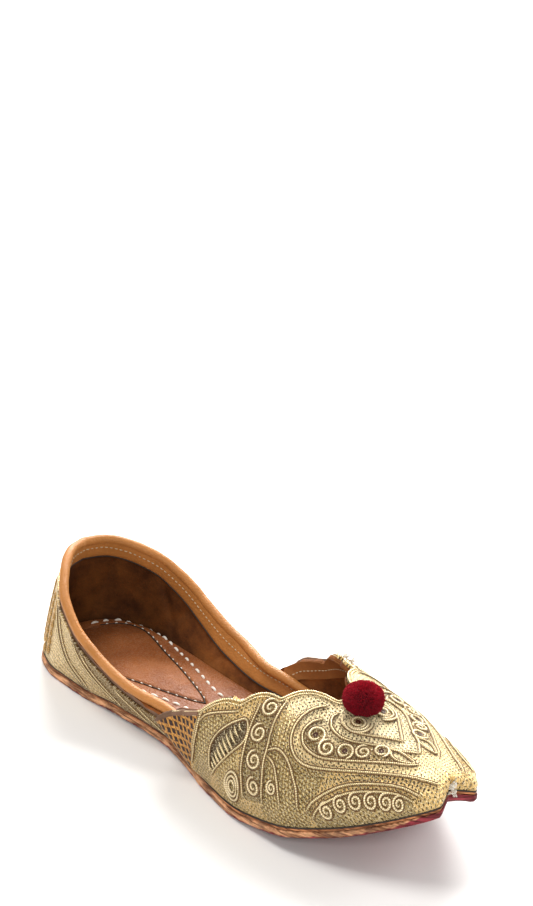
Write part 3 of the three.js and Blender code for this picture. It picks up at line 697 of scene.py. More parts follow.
# %% Gold materials
def gold_ground(name, shade, holes, across=2.2, hatch=0.0):
    n = Nodes(name, (0.7, 0.5, 0.22), 0.36, 0.62, 0.5)
    axes = n.add("SeparateXYZ", Vector=n.attribute("chart"))
    x, y, zone = axes.outputs
    slant = n.maths("ADD", n.maths("MULTIPLY", x, 0.54), n.maths("MULTIPLY", y, 0.27))
    grid = n.add("CombineXYZ", X=slant, Y=n.maths("MULTIPLY", y, 0.60)).outputs[0]
    dot = n.cells(grid, 1.0, 0.12)
    dark = n.ramp(dot, 0.30, 0.16)
    bright = n.ramp(dot, 0.40, 0.22)
    finer = n.maths("MULTIPLY", y, 1.9)
    threads = n.add("CombineXYZ", X=n.maths("MULTIPLY", slant, across), Y=finer).outputs[0]
    fibre = n.noise(threads, 1.0, 3, 0.65)
    glint_noise = n.noise(threads, 1.25, 2, 0.5)
    tint = n.attribute("tint", "Color")
    light = n.blend(n.maths("MULTIPLY", dark, holes), tint, (0.07, 0.032, 0.01))
    field = n.blend(bright, tint, (0.90, 0.68, 0.28))
    light = n.blend(n.ramp(zone, -0.6, -0.3), tint, light)
    both = n.blend(n.ramp(zone, 0.4, 0.6), light, field)
    # painted shade: where the thread noise is low the tone is mixed toward the shade colour, for shade
    # between the threads
    low = n.maths("MULTIPLY", n.ramp(fibre, 0.55, 0.38), 0.95)
    if hatch:
        rows = n.maths("ADD", n.maths("MULTIPLY", y, hatch), n.maths("MULTIPLY", n.maths("ABSOLUTE", x), 0.9))
        wave = n.maths("SINE", n.maths("ADD", rows, n.maths("MULTIPLY", fibre, 1.5)))
        both = n.blend(n.maths("MULTIPLY", n.ramp(wave, 0.1, 0.9), 0.55), both, shade)
    # painted highlight: small cream glints from the thread noise, for light glancing off single threads
    high = n.maths("MULTIPLY", n.ramp(glint_noise, 0.53, 0.60), 0.95)
    tone = n.blend(low, both, n.blend(0.22, shade, both))
    tone = n.blend(high, tone, n.blend(0.75, both, (1.0, 0.87, 0.56)))
    n.set(n.shader, "Base Color", tone)
    n.set(n.shader, "Roughness", n.maths("ADD", n.maths("MULTIPLY", fibre, 0.35), 0.18))
    hollow = n.maths("MULTIPLY", n.maths("MULTIPLY", dark, -1.2), n.ramp(zone, 0.6, 0.4))
    raised_part = n.maths("MULTIPLY", n.maths("MULTIPLY", bright, 0.9), n.ramp(zone, 0.4, 0.6))
    grain = n.maths("ADD", n.maths("MULTIPLY", fibre, 1.6), n.maths("MULTIPLY", glint_noise, 0.7))
    n.bump(n.maths("ADD", n.maths("ADD", hollow, raised_part), grain), 1.0, 0.0005)
    return n.material


# %% Twisted cord
def cord_material(name, colour, dark, roughness=0.32, metallic=0.6):
    n = Nodes(name, colour, roughness, metallic)
    axes = n.add("SeparateXYZ", Vector=n.attribute("chart"))
    run, round_cord = n.maths("MULTIPLY", axes.outputs[0], 7.5), n.maths("MULTIPLY", axes.outputs[1], 6.283)
    turn = n.maths("ADD", run, round_cord)
    wave = n.maths("ADD", n.maths("MULTIPLY", n.maths("SINE", turn), 0.5), 0.5)
    n.set(n.shader, "Base Color", n.blend(n.ramp(wave, 0.05, 0.6), dark, colour))
    n.bump(wave, 0.8, 0.0002)
    return n.material


# %% Woven yarn
def weave_material(name):
    n = Nodes(name, (0.62, 0.33, 0.10), 0.42, 0.4)
    axes = n.add("SeparateXYZ", Vector=n.attribute("chart"))
    x, y = axes.outputs[0], axes.outputs[1]
    slant = n.maths("ADD", n.maths("MULTIPLY", x, 0.37), n.maths("MULTIPLY", y, 0.15))
    grid = n.add("CombineXYZ", X=slant, Y=n.maths("MULTIPLY", y, 0.30)).outputs[0]
    node = n.tree.nodes.new("ShaderNodeTexVoronoi")
    node.distance = "CHEBYCHEV"
    n.set(node, "Vector", grid)
    node.inputs["Scale"].default_value = 1.0
    node.inputs["Randomness"].default_value = 0.14
    hole = n.ramp(node.outputs["Distance"], 0.36, 0.28)
    threads = n.add("CombineXYZ", X=n.maths("MULTIPLY", slant, 6.0), Y=n.maths("MULTIPLY", y, 0.8)).outputs[0]
    fibre = n.noise(threads, 1.0, 3)
    yarn = n.blend(n.ramp(fibre, 0.35, 0.65), (0.22, 0.080, 0.014), (0.76, 0.37, 0.075))
    n.set(n.shader, "Base Color", n.blend(hole, yarn, (0.035, 0.014, 0.006)))
    n.bump(n.maths("SUBTRACT", n.maths("MULTIPLY", fibre, 0.5), n.maths("MULTIPLY", hole, 1.5)), 1.0, 0.0004)
    return n.material


# %% Finishes of the gold work
# GOLD_SHADE and the quarter's shade colour are painted shade between the threads
GOLD_SHADE = (0.13, 0.068, 0.018)
gold_cloth = gold_ground("gold_cloth", GOLD_SHADE, 0.95)
quarter_cloth = gold_ground("quarter_cloth", (0.20, 0.11, 0.035), 0.5, 1.5, 3.2)
gold_cord = cord_material("gold_cord", (1.0, 0.85, 0.52), (0.46, 0.29, 0.09), 0.3, 0.65)
spiral_cord = cord_material("spiral_cord", (1.0, 0.87, 0.58), (0.66, 0.46, 0.20), 0.3, 0.6)
orange_cord = cord_material("orange_cord", (0.70, 0.45, 0.17), (0.28, 0.14, 0.04))
brown_cord = cord_material("brown_cord", (0.24, 0.12, 0.035), (0.06, 0.028, 0.01), 0.6, 0.0)
weave = weave_material("weave")
sequin = Nodes("sequin_hole", (0.055, 0.016, 0.008), 0.5, 0.0, 0.2).material
print("gold materials made")

# %% [markdown]
# ## Sole layers
# The sole is cut from stacked leather: a thick outsole, a thin welt layer and the insole on top.
# Each layer is a stack of outlines, moved in a little where the knife rounded the edge. The
# lowest edge and the underside are painted burgundy.


# %% Layer maker
def sole_layer(profile, count=260, columns=26, wobble=0.0):
    """Closed layer from (inset, height) steps, bottom to top. Returns points, triangles, heights."""
    even = np.linspace(0, 1, count + 1)
    t = TRAVEL * (0.55 * even + 0.45 * (1 - np.cos(np.pi * even)) / 2)
    wave = sum(
        wobble * a * np.sin(t * f + ph) for a, f, ph in ((0.5, 0.21, 1.0), (0.3, 0.73, 2.0), (0.25, 1.9, 0.4))
    )
    loops, tops = [], []
    for inset, z in profile:
        x, y = outline(t, inset)
        y = np.where(y > 0, np.maximum(y + wave * (0.4 + 0.6 * np.cos(z * 2.1)), 0), y)
        left = np.stack([x, y], -1)
        ring = np.vstack([left, left[-2:0:-1] * np.array([1, -1])])
        px = notch(ring[:, 0], ring[:, 1])
        loops.append(np.stack([px, ring[:, 1], ground(px, ring[:, 1]) + z], -1))
        tops.append(left)
    size = len(loops[0])
    points = [np.vstack(loops)]
    height = [np.repeat([z for _, z in profile], size)]
    tris = [strip(len(loops), size, True)]
    start = len(points[0])
    for k, order in ((0, 1), (len(profile) - 1, -1)):
        left, z = tops[k], profile[k][1]
        share = np.linspace(-1, 1, columns)
        gx = np.repeat(left[:, :1], columns, 1)
        gy = left[:, 1:] * share
        gx = notch(gx, gy)
        cap = np.stack([gx, gy, ground(gx, gy) + z], -1).reshape(-1, 3)
        points.append(cap)
        height.append(np.full(len(cap), z))
        tris.append(strip(len(left), columns)[:, ::order] + start)
        start += len(cap)
    points, height, tris = np.vstack(points), np.concatenate(height), np.concatenate(tris)
    points, carry, tris = weld(points, height[:, None], tris)
    return points, tris, carry[:, 0]


# %% Finish of the sole
def sole_material():
    n = Nodes("sole_leather", (0.26, 0.13, 0.075), 0.66, 0.0, 0.25)
    where = n.place()
    streak = n.noise(n.mapped(where, (70, 70, 900)), 1.0, 5, 0.65)
    spot = n.noise(where, 130, 4)
    tone = n.blend(n.ramp(streak, 0.36, 0.64), (0.18, 0.070, 0.030), (0.86, 0.45, 0.23))
    tone = n.blend(n.maths("MULTIPLY", n.ramp(spot, 0.48, 0.66), 0.6), tone, (0.10, 0.045, 0.03))
    low = n.attribute("tint", "Color")
    n.set(n.shader, "Base Color", n.blend(1.0, tone, low, "MULTIPLY"))
    n.bump(streak, 0.9, 0.0004)
    return n.material


def painted(height, points, top):
    """Burgundy below, plain leather above, with an uneven line between them."""
    x, y = points[:, 0], points[:, 1]
    brush = 0.35 * np.sin(x * 0.31) + 0.3 * np.sin(x * 1.1 + y)
    line = top + 2.1 * smooth(230, 244, x) + brush
    share = smooth(-0.25, 0.25, height - line)[:, None]
    return np.array([0.42, 0.10, 0.26]) * (1 - share) + np.array([1.0, 1.0, 1.0]) * share


# %% Outsole
sole_stuff = sole_material()
OUTSOLE = [(2.4, 0), (0.9, 0.0), (0.4, 0.2), (0.12, 0.6), (0.0, 1.2), (0.06, 1.7), (0.16, 1.95), (0.05, 2.2)]
OUTSOLE += [(0.12, 2.6), (0.5, 2.95), (1.4, 3.0)]
p, tris, h = sole_layer(OUTSOLE, wobble=0.35)
piece("outsole", p, tris, sole_stuff, ["outsole"], colours=painted(h, p, 0.75))

# %% Welt layer
WELT = [(2.0, 3.3), (0.75, 3.32), (0.5, 3.6), (0.45, 4.0), (0.7, 4.4), (2.0, 4.5)]
p, tris, h = sole_layer(WELT, wobble=0.3)
welt = np.tile([0.75, 0.58, 0.46], (len(p), 1))
piece("midsole", p, tris, sole_stuff, ["midsole"], colours=welt)
print("welt", round(WELT[-1][1] - WELT[0][1], 2), "mm thick")

# %% [markdown]
# Between the welt and the gold leather the real shoe has an open seam that lies in shade. A thin
# dark cord in the corner paints that shade all the way round.

# %% Seam between the welt and the upper
SEAM_INSET, SEAM_HEIGHT = 0.75, 4.75
t = np.linspace(0, TRAVEL, 400)
x, y = outline(t, SEAM_INSET)
rim = np.vstack([np.stack([x, y], -1), np.stack([x, -y], -1)[-2:0:-1]])
rim = np.column_stack([notch(rim[:, 0], rim[:, 1]), rim[:, 1]])
shadow = np.column_stack([rim, ground(rim[:, 0], rim[:, 1]) + SEAM_HEIGHT])
# the dark tube is painted shade in the open seam
p, tris = tube(shadow, np.tile([0.0, 0, 1.0], (len(shadow), 1)), 0.42, 6)
piece("welt_gap_shade", p, tris, dark_thread)

# %% Insole board
RAND = [(4.5, 4.8), (4.4, 5.8), (4.5, 6.6), (5.0, 6.8)]
p, tris, h = sole_layer(RAND, columns=60)
piece("insole", p, tris, rand_leather, ["insole"])

# %% [markdown]
# ## Stitched band and heel pad
# Inside lies a reddish leather band, stitched round the heel with white thread, and a heel pad
# with a narrow front end. Both are thin sheets whose edges roll down onto the insole.

# %% Band and heel pad
INSOLE_TOP, PAD_EDGE = 6.9, 8.3
half = np.linspace(0, TRAVEL, 500)
ox, oy = outline(half, 4.9)
INNER = np.vstack([np.stack([ox, oy], -1), np.stack([ox, -oy], -1)[-2:0:-1]])
PAD = [(12.5, 0), (13.5, 9), (18.5, 18.3), (26.5, 21.9), (35, 21.4), (50, 17), (65, 12.4), (80, 7.6)]
PAD = np.array(PAD + [(92.5, 3.1), (98, 0)])
pad_side = spline(PAD, 1.0)
PAD_LINE = np.vstack([pad_side, (pad_side * np.array([1, -1]))[-2:0:-1]])
FRONT = [(105, 0), (117.5, 11.3), (136, 24.8), (146, 31.3), (150, 52)]
BAND_AREA = np.array(FRONT + [(-20, 60), (-20, -60)] + [(x, -y) for x, y in FRONT[:0:-1]], float)


# %% Sheets cut in plan
def plan_sheet(x0, x1, step, keep, top):
    gx, gy = np.meshgrid(np.arange(x0, x1, step), np.arange(-38, 38.01, step), indexing="ij")
    x, y = gx.ravel(), gy.ravel()
    edge = keep(x, y)
    points = np.stack([x, y, top(x, y, edge)], -1)
    points, _, tris = clip(points, edge[:, None], strip(*gx.shape), edge)
    points[:, 2] = top(points[:, 0], points[:, 1], keep(points[:, 0], points[:, 1]))
    return points, tris


def rolled(edge, thick, radius):
    share = np.clip(edge / radius, 0, 1)
    return thick * np.sqrt(np.clip(1 - (1 - share) ** 2, 0, 1))


def band_keep(x, y):
    area = np.minimum(signed(INNER, x, y), signed(BAND_AREA, x, y))
    return np.minimum(area, -signed(PAD_LINE, x, y) - 0.15)


def band_top(x, y, edge):
    swell = 0.25 * np.sin(x * 0.16) * np.sin(y * 0.22)
    return ground(x, y) + INSOLE_TOP + rolled(edge, 1.55, 1.3) + swell * smooth(0, 5, edge)


def pad_keep(x, y):
    return signed(PAD_LINE, x, y)


def pad_top(x, y, edge):
    wrinkle = 0.22 * np.sin(x * 0.35 + y * 0.5) * smooth(2, 7, edge)
    puff = 0.5 * smooth(0, 9, edge)
    return ground(x, y) + INSOLE_TOP + rolled(edge, 1.9, 1.5) + puff + 0.4 * wrinkle


p, tris = plan_sheet(3, 154, 0.7, band_keep, band_top)
piece("insole_band", p, tris, insole_leather, ["insole_band"])
p, tris = plan_sheet(11, 99, 0.7, pad_keep, pad_top)
piece("heel_pad", p, tris, insole_leather, ["heel_pad"])


# %% [markdown]
# The white stitches are sewn by hand with thick thread, so their length and place vary a little.
# Each one is a short tube that rises in the middle and dips into the leather at its ends.

# %% Hand stitches
def follow(path, normals, spots):
    run = np.concatenate([[0], np.cumsum(np.linalg.norm(np.diff(path, axis=0), axis=1))])
    both = np.hstack([path, normals])
    out = np.stack([np.interp(spots, run, both[:, k]) for k in range(6)], -1)
    return out[:, :3], out[:, 3:]


def dashes(path, normals, pitch, length, radius, lift, shake=0.15):
    """Small arched stitches along a line."""
    total = np.linalg.norm(np.diff(path, axis=0), axis=1).sum()
    parts = []
    for centre in np.arange(pitch * 0.6, total - pitch * 0.4, pitch):
        size = length * (1 + shake * rng.normal())
        u = np.linspace(-0.5, 0.5, 6)
        spots = centre + shake * rng.normal() * 0.6 + u * size
        place, up = follow(path, normals, spots)
        place = place + up * (lift * (1 - (2 * u) ** 2) - 0.35 * radius)[:, None]
        thick = radius * (1 - 0.55 * (2 * np.abs(u)) ** 3)
        parts.append(tube(place, up, thick, 6, 0.75))
    return parts


def on_band(points, lift=0.0):
    """Line in plan laid on the stitched band."""
    line = spline(points, 0.8)
    x, y = line[:, 0], line[:, 1]
    z = band_top(x, y, band_keep(x, y)) + lift
    up = np.tile([0.0, 0, 1], (len(x), 1))
    return np.stack([x, y, z], -1), up


# %% Rows of stitches
STITCH = [(136, 29.5), (117, 21.2), (105.7, 14.6), (98, 10.2), (91, 11), (80, 14.3), (68, 17.8), (56.6, 21.2)]
STITCH += [(44.6, 24.4), (33.2, 26), (24, 25), (16.5, 20.5), (12, 13), (10.3, 5), (10, 0)]
parts = []
for side in (1, -1):
    line, up = on_band([(x, side * y) for x, y in STITCH])
    parts += dashes(line, up, 5.8, 3.7, 0.68, 0.6)
middle, up = on_band([(100, -3.2), (101.5, 0), (100, 3.2)])
parts += dashes(middle, up, 7.2, 5.5, 0.5, 0.5)
for side in (1, -1):
    front, up = on_band([(107, 3 * side), (118.5, 13.2 * side), (136.5, 26.8 * side)], -0.2)
    parts += dashes(front, up, 6.2, 2.6, 0.42, 0.4)
p, tris = joined(parts)
piece("insole_stitches", p, tris, white_thread)

# %% Seam of the heel pad
parts, ticks = [], []
for side in (1, -1):
    line = spline([(x, side * y) for x, y in PAD[1:]], 0.8)
    z = ground(line[:, 0], line[:, 1]) + PAD_EDGE
    line = np.stack([line[:, 0], line[:, 1], z], -1)
    up = np.tile([0.0, 0, 1], (len(line), 1))
    parts.append(tube(line, up, 0.27, 6))
    ticks += dashes(line + np.array([0, side * 0.25, 0.2]), up, 4.6, 1.3, 0.3, 0.3)
p, tris = joined(parts)
piece("pad_seam", p, tris, dark_thread)
p, tris = joined(ticks)
piece("pad_stitches", p, tris, white_thread)

# %% [markdown]
# ## Openings of the upper
# The collar line is a height over x. In front of it the wing of the vamp climbs to the throat,
# whose edge is a row of rounded lobes in plan. All pieces of the upper are cut by these two.


# %% Opening fields
def open_height(x, shift, grow):
    line = [(110, 21), (121, 30), (135, 36), (137.5, 39.4), (141.5, 43.2), (147, 45.5), (150, 80)]
    xs = np.array([109.0] + [a for a, _ in line])
    zs = np.array([float(collar_at(109.0)) + shift] + [b - grow for _, b in line])
    return np.where(x < 109, collar_at(x) + shift, np.interp(x, xs, zs))


# %% Scalloped throat and front edge of the wing
def throat_line(grow, bulge=0.17):
    side = [(THROAT[0][0] + grow, 0.0)]
    for k, ((x0, y0), (x1, y1)) in enumerate(zip(THROAT[:-1], THROAT[1:])):
        out = 0.0 if k == 0 else bulge
        mx = (x0 + x1) / 2 - (y1 - y0) * out * 2
        my = (y0 + y1) / 2 + (x1 - x0) * out * 2
        run = math.hypot(x1 - x0, y1 - y0)
        ax, ay = (y1 - y0) / run * grow, -(x1 - x0) / run * grow
        for i in range(1, 13):
            t = i / 12
            x = (1 - t) ** 2 * x0 + 2 * t * (1 - t) * mx + t * t * x1
            y = (1 - t) ** 2 * y0 + 2 * t * (1 - t) * my + t * t * y1
            side.append((x + ax, y + ay))
    return side


RISE = [(121, 29.3), (128, 32.4), (135, 35.4), (137.6, 38.8), (141.6, 42.6), (146.5, 45.2)]


def throat_keep(points, grow):
    side = throat_line(grow)
    side.append((132.5, side[-1][1]))
    poly = np.array(side + [(x, -y) for x, y in side[:0:-1]])
    field = np.full(len(points), 50.0)
    near = (points[:, 0] > 125) & (points[:, 0] < 195)
    field[near] = -signed(poly, points[near, 0], points[near, 1])
    xs, zs = np.array(RISE).T
    rise = np.interp(points[:, 0], xs, zs - grow, right=-99) - points[:, 2]
    return np.maximum(np.maximum(field, rise), 30 - points[:, 2])


def vamp_keep(points, grow=0.7):
    rim = open_height(points[:, 0], -EDGE_BELOW, grow) - points[:, 2]
    return np.minimum(rim, throat_keep(points, grow))


def gold_line(z):
    return np.interp(z, [4, 36], [131, 135])


def wing_line(z):
    return np.interp(z, [4, 21], [128, 110])


# %% [markdown]
# ## Lining
# The lining is a dark suede sheet stitched to the outer leather at the collar. It shows soft
# folds where the leather eases round the heel and over the arch.

# %% Lining with its outer edge strip
p_all = patch(travels(0, 250, 330), 110)
FOLDS = [  # travel, height, lean, length, width, depth
    (38, 30, 0.5, 22, 2.6, 1.0),
    (50, 20, -0.6, 18, 2.4, 1.1),
    (66, 24, 0.7, 20, 2.8, 1.2),
    (84, 16, -0.8, 16, 2.6, 1.1),
    (98, 14, 0.9, 16, 2.4, 1.0),
    (116, 12, -0.6, 15, 2.6, 1.0),
    (20, 34, 0.3, 20, 2.6, 1.0),
    (132, 10, 0.8, 14, 2.4, 0.9),
]


def folds(t, high):
    out = 0 * high
    for a, h, lean, length, width, depth in FOLDS:
        u, v = t - a - lean * (high - h), high - h
        out = out + depth * np.exp(-((u / width) ** 2)) * np.exp(-((v / length) ** 2))
    return out


high = (1 - np.linspace(0, 1, 110))[:, None] * p_all["length"]
inner = raised(p_all, -WALL + folds(p_all["t"][None, :], high) * smooth(0, 4, high))
points, carry, tris = both_sides(p_all, inner)
tris = tris[:, ::-1]
shape = points + carry[:, :3] * WALL
keep = np.minimum(open_height(shape[:, 0], -EDGE_BELOW, 0.0) - shape[:, 2], throat_keep(shape, 0.0))
points, carry, tris = clip(points, carry, tris, keep)
points, carry, tris = turned_in(points, carry * np.array([-1, -1, -1, 1, 1]), tris, WALL, 0.3)
piece("upper", points, tris, lining, ["upper"])

# %% [markdown]
# Below the rolled collar a narrow strip of bare leather shows before the gold begins. It is
# the same sheet seen from outside, cut to a band under the rim.

# %% Leather edge under the collar
outer = raised(p_all, 0.1)
points, carry, tris = both_sides(p_all, outer)
rim = open_height(points[:, 0], -EDGE_BELOW, 0.0)
band = np.minimum(rim - points[:, 2], points[:, 2] - rim + 9)
keep = np.minimum(np.minimum(band, throat_keep(points, 0.0)), 132 - points[:, 0])
points, carry, tris = clip(points, carry, tris, keep)
piece("upper_edge", points, tris, edge_leather)

# %% [markdown]
# ## Gold vamp
# The vamp is the face of the shoe: one leather over the toes, with scalloped edges at the
# throat. Its motifs are lists of points in the chart, for the left half, and mirrored. They were
# picked in the photograph, turned into places of the chart and then moved: a pointed
# arch round the pompom, five spirals outside it, a wide paisley line, a column of spirals at the
# side, a hatched leaf, and a low arch with six small spirals beside the toe.

# %% Motifs of the vamp
ARCH = [(226, 0), (220, 5.2), (214, 8.6), (208.4, 12.2), (203, 15.8), (197.5, 17.7), (192, 17)]
ARCH += [(188.5, 13.5), (188.5, 10)]
ARCH_IN = [(216, 0), (210, 4.6), (204.5, 9), (199, 12.4), (194, 12.6), (190.8, 10)]
BAND_OUT = [(231.5, 5.5), (228, 8.8), (222.5, 12.6), (215.4, 18.2), (206, 25), (197.5, 30)]
BAND_OUT += [(189.5, 30.4), (184.6, 26.5), (184.2, 21), (186.4, 16.5)]
PAISLEY = [(245, 7.5), (239, 10), (233.6, 12.4), (224.4, 18), (214.4, 24.6), (204, 31.4), (195, 36)]
PAISLEY += [(188, 35.6), (182.2, 31.4), (179.3, 24.5), (179.6, 17), (182.6, 10.5)]
PETAL = [(217.0, 7.6), (219.8, 9.8), (224, 9.6), (229.4, 6.2), (224.5, 5.4), (220, 5.8), (217.0, 7.6)]
COLUMN_BACK = [(160.5, 28.8), (161.5, 32.5), (162.7, 37), (164.2, 42), (165.8, 48), (167.6, 54)]
COLUMN_BACK += [(169.6, 59), (171.6, 65)]
COLUMN_FRONT = [(168.8, 20.8), (170, 26), (171.2, 30.5), (173.2, 35.5), (175.5, 40.5), (177.2, 46)]
COLUMN_FRONT += [(180, 52.4), (182.4, 60)]
LEAF = [(149.4, 67), (148, 61), (147.2, 55), (148.6, 49.4), (152, 43.8), (155.6, 39.6), (159.5, 36.8)]
LEAF += [(163, 40.2), (163.6, 45), (160, 51), (155.4, 58), (149.4, 67)]
LOBE = [(137, 48.5), (139, 45), (142.5, 42.4), (148.4, 39.2), (154, 36)]
SEAM = [(136.2, 41.5), (136.6, 48), (136.7, 54.5), (135.9, 61.5), (133, 70)]
HALF_OUT = [(176.2, 41.5), (179, 38.8), (183, 38), (188.8, 39.8), (193.7, 43), (197.4, 46.4), (200, 52)]
HALF_IN = [(177.5, 43), (182.3, 44), (186.4, 47.5), (189.6, 51.5), (192, 56)]
LOW_ARCH = [(203.5, 50), (205, 45), (209.5, 37.6), (215, 30.8), (223.6, 24), (232.8, 18.6), (242.6, 15.6)]
LOW_ARCH_IN = [(206.4, 51), (208, 45.4), (212.4, 38.6), (217.6, 32.4), (225.2, 26.4), (233.6, 21.4)]
LOW_ARCH_IN += [(241, 19)]
SMALL_LEAF = [(160, 52.5), (156.8, 57), (154.4, 62), (153, 67)]
LIGHT_LINES = [ARCH, ARCH_IN, BAND_OUT, PAISLEY, COLUMN_BACK, COLUMN_FRONT, LEAF, LOBE, SEAM]
LIGHT_LINES += [HALF_OUT, HALF_IN, LOW_ARCH, LOW_ARCH_IN, PETAL]

# %% Spirals and the oval
# spirals: X, Y, radius, 1 for a dark sequin hole
SPIRALS = [
    (215.0, 10.9, 3.4, 1),
    (210.2, 16.4, 3.5, 0),
    (204.2, 21.2, 3.8, 1),
    (197.6, 25.2, 3.9, 0),
    (189.8, 24.0, 4.2, 1),
    (197.0, 7.0, 3.2, 1),
    (165.6, 27.2, 4.1, 0),
    (168.4, 38.2, 4.0, 0),
    (172.6, 48.0, 4.0, 0),
    (176.6, 57.2, 3.8, 0),
    (211.6, 44.2, 3.2, 0),
    (216.0, 38.4, 3.2, 0),
    (221.0, 33.6, 3.2, 0),
    (226.4, 29.6, 3.1, 0),
    (231.8, 26.2, 3.1, 0),
    (236.8, 23.4, 2.9, 0),
    (185.8, 52.0, 2.8, 0),
]
OVAL = (164.4, 64.0, 4.3, 6.2)


# %% [markdown]
# The real lines are gold cords held down by small stitches. Each line of the chart becomes a
# cord on the leather, thinner at its ends, and stops where the leather is cut.

# %% Laying cords in the chart
def mirrored(line):
    return [line, [(x, -y) for x, y in line]]


def cords(lines, place, radius, lift, keep, step=0.55, sides=6, flat=0.8):
    """Cords laid along chart lines; each line stops where keep is negative."""
    parts, marks = [], []
    for line in lines:
        flat_line = spline(line, step)
        path, up = place(flat_line, lift)
        good = keep(path) > 0.35
        edges = np.flatnonzero(np.diff(np.concatenate([[0], good.astype(int), [0]])))
        for a, b in zip(edges[::2], edges[1::2]):
            if b - a < 4:
                continue
            ends = np.minimum(np.arange(b - a), np.arange(b - a)[::-1])
            p, t = tube(path[a:b], up[a:b], radius * np.clip(0.35 + ends / 7, 0, 1), sides, flat)
            parts.append((p, t))
            run = np.repeat(np.arange(b - a) * step, sides)
            turn = np.tile(np.arange(sides) / sides, b - a)
            marks.append(np.stack([run, turn, 0 * run], -1))
    points, tris = joined(parts)
    return points, tris, np.vstack(marks)


def spiral(x, y, radius, start, turns, way=1):
    a = np.linspace(0, 2 * np.pi * turns, int(14 * turns))
    r = start + (radius - start) * a / a[-1]
    return [(x + r_ * math.cos(a_), y + way * r_ * math.sin(a_)) for a_, r_ in zip(a, r)]


# %% All lines of the vamp
spiral_lines, shade_lines, sequins = [], [], []
for x, y, radius, hole in SPIRALS:
    for side in (1, -1):
        start, turns = (1.9, 1.1) if hole else (0.5, 1.7)
        gap = (radius - start) / turns / 2
        spiral_lines.append(spiral(x, side * y, radius, start, turns, side))
        shade_lines.append(spiral(x, side * y, radius + gap, start + gap, turns, side))
        if hole:
            sequins.append((x, side * y, 1.15))
for side in (1, -1):
    ox_, oy_, rx_, ry_ = OVAL
    for share in (0.4, 0.7, 1.0):
        turn = np.linspace(0, 2 * np.pi, 30)
        for lines, grow in ((spiral_lines, share), (shade_lines, share + 0.15)):
            width, height = grow * rx_, grow * ry_
            lines.append([(ox_ + width * math.cos(a), side * (oy_ + height * math.sin(a))) for a in turn])
    for radius in (4.4, 5.8):
        turn = np.linspace(-0.9, 2.3, 24)
        for lines, grow in ((spiral_lines, radius), (shade_lines, radius + 0.7)):
            lines.append([(197 + grow * math.cos(a), side * (7 + grow * math.sin(a))) for a in turn])
main_lines = [m for line in LIGHT_LINES for m in mirrored(line)]
print(len(main_lines), "main cords,", len(spiral_lines), "spirals")

# %% [markdown]
# The leather itself rises slightly under each cord and spiral, because the thread is couched over
# padding. The sheet is then cut at the throat and behind the wing.

# %% Vamp leather
p_vamp = patch(travels(100, 250, 250), 150)
base_height = lap(p_vamp["pos"][..., 0], p_vamp["pos"][..., 2]) + COVER
cx, cy = p_vamp["chart"][..., 0], p_vamp["chart"][..., 1]
relief = np.zeros(cx.shape)
for line in LIGHT_LINES:
    relief = np.maximum(relief, np.exp(-((distance(spline(line, 1.5), cx, cy) / 1.1) ** 2)))
for x, y, radius, hole in SPIRALS:
    relief = np.maximum(relief, 0.9 * smooth(radius + 0.9, radius - 0.6, np.hypot(cx - x, cy - y)))
pts = raised(p_vamp, base_height + 0.55 * relief - 0.2)
points, carry, tris = both_sides(p_vamp, pts)
keep = np.minimum(vamp_keep(points), points[:, 0] - gold_line(points[:, 2]))
points, carry, tris = clip(points, carry, tris, keep)
points, carry, tris = turned_in(points, carry, tris, COVER + 0.3)
X, Y = carry[:, 3], np.abs(carry[:, 4])

# %% [markdown]
# The eye reads the pattern by its fields: pale bands, brightened near the top as painted highlight,
# olive fields and dark gaps of painted shade beside the cords. They are painted on the mesh as a
# colour with a soft edge.

# %% Painting the vamp
LIGHT = np.array([1.0, 0.675, 0.25])
PALE = np.array([1.0, 0.81, 0.46])
OLIVE = np.array([0.31, 0.185, 0.045])
BROWN = np.array([0.085, 0.048, 0.02])
colours = np.tile(LIGHT, (len(X), 1))
zone = np.zeros(len(X))


def paint(mask, colour, value):
    share = np.clip(mask, 0, 1)[:, None]
    colours[:] = colours * (1 - share) + colour * share
    zone[:] = np.where(share[:, 0] > 0.5, value, zone)


def area(line):
    return smooth(-0.4, 0.4, signed(spline(line, 1.2), X, Y))


side_field = [(172, 25), (176, 20), (178.5, 25), (181.5, 32), (187.5, 36.8), (195, 37.2), (204, 32.6)]
side_field += [(203.5, 60), (184, 66), (182, 58), (178, 46), (174, 36)]
lobe_field = [(137, 50), (141, 45), (149, 41), (157, 38.5), (150, 46), (147, 56), (148, 67), (144, 78)]
lobe_field += [(134, 80), (136, 62)]
paint(area(side_field), OLIVE, 1)
paint(area(lobe_field), OLIVE, 1)
paint(area(SMALL_LEAF + [(160, 78), (168, 72), (166, 62), (163.5, 52), (162, 48.5)]), OLIVE * 1.3, 1)
paint(area(LEAF), BROWN, -1)
# partly the pale thread of the band, partly a painted highlight: the paisley field is painted paler on the
# lit top of the vamp
paint(area(PAISLEY + [(182, 0), (246, 0)]), (LIGHT + PALE) / 2, 0)
spiral_band = BAND_OUT + [(188.5, 10), (188.5, 13.5), (192, 17), (197.5, 17.7), (208.4, 12.2), (220, 5.2)]
paint(area(spiral_band), np.array([0.50, 0.34, 0.13]), 0)
# partly a pale band, partly a painted highlight: the top of the vamp behind the arch is painted pale where it
# faces the light
paint(0.9 * smooth(27, 20, Y) * smooth(166, 172, X) * smooth(204, 194, X), PALE, 0)
paint(area(ARCH + [(184, 6), (184, 0)]), PALE, 0)
paint(area(PETAL), PALE * 1.05, -1)
paint(area(LOW_ARCH_IN + [(246, 26), (238, 34), (225, 52), (212, 62)]), np.array([0.56, 0.40, 0.16]), 0)
column = COLUMN_BACK + COLUMN_FRONT[::-1]
paint(area(column), np.array([0.46, 0.32, 0.12]), 0)
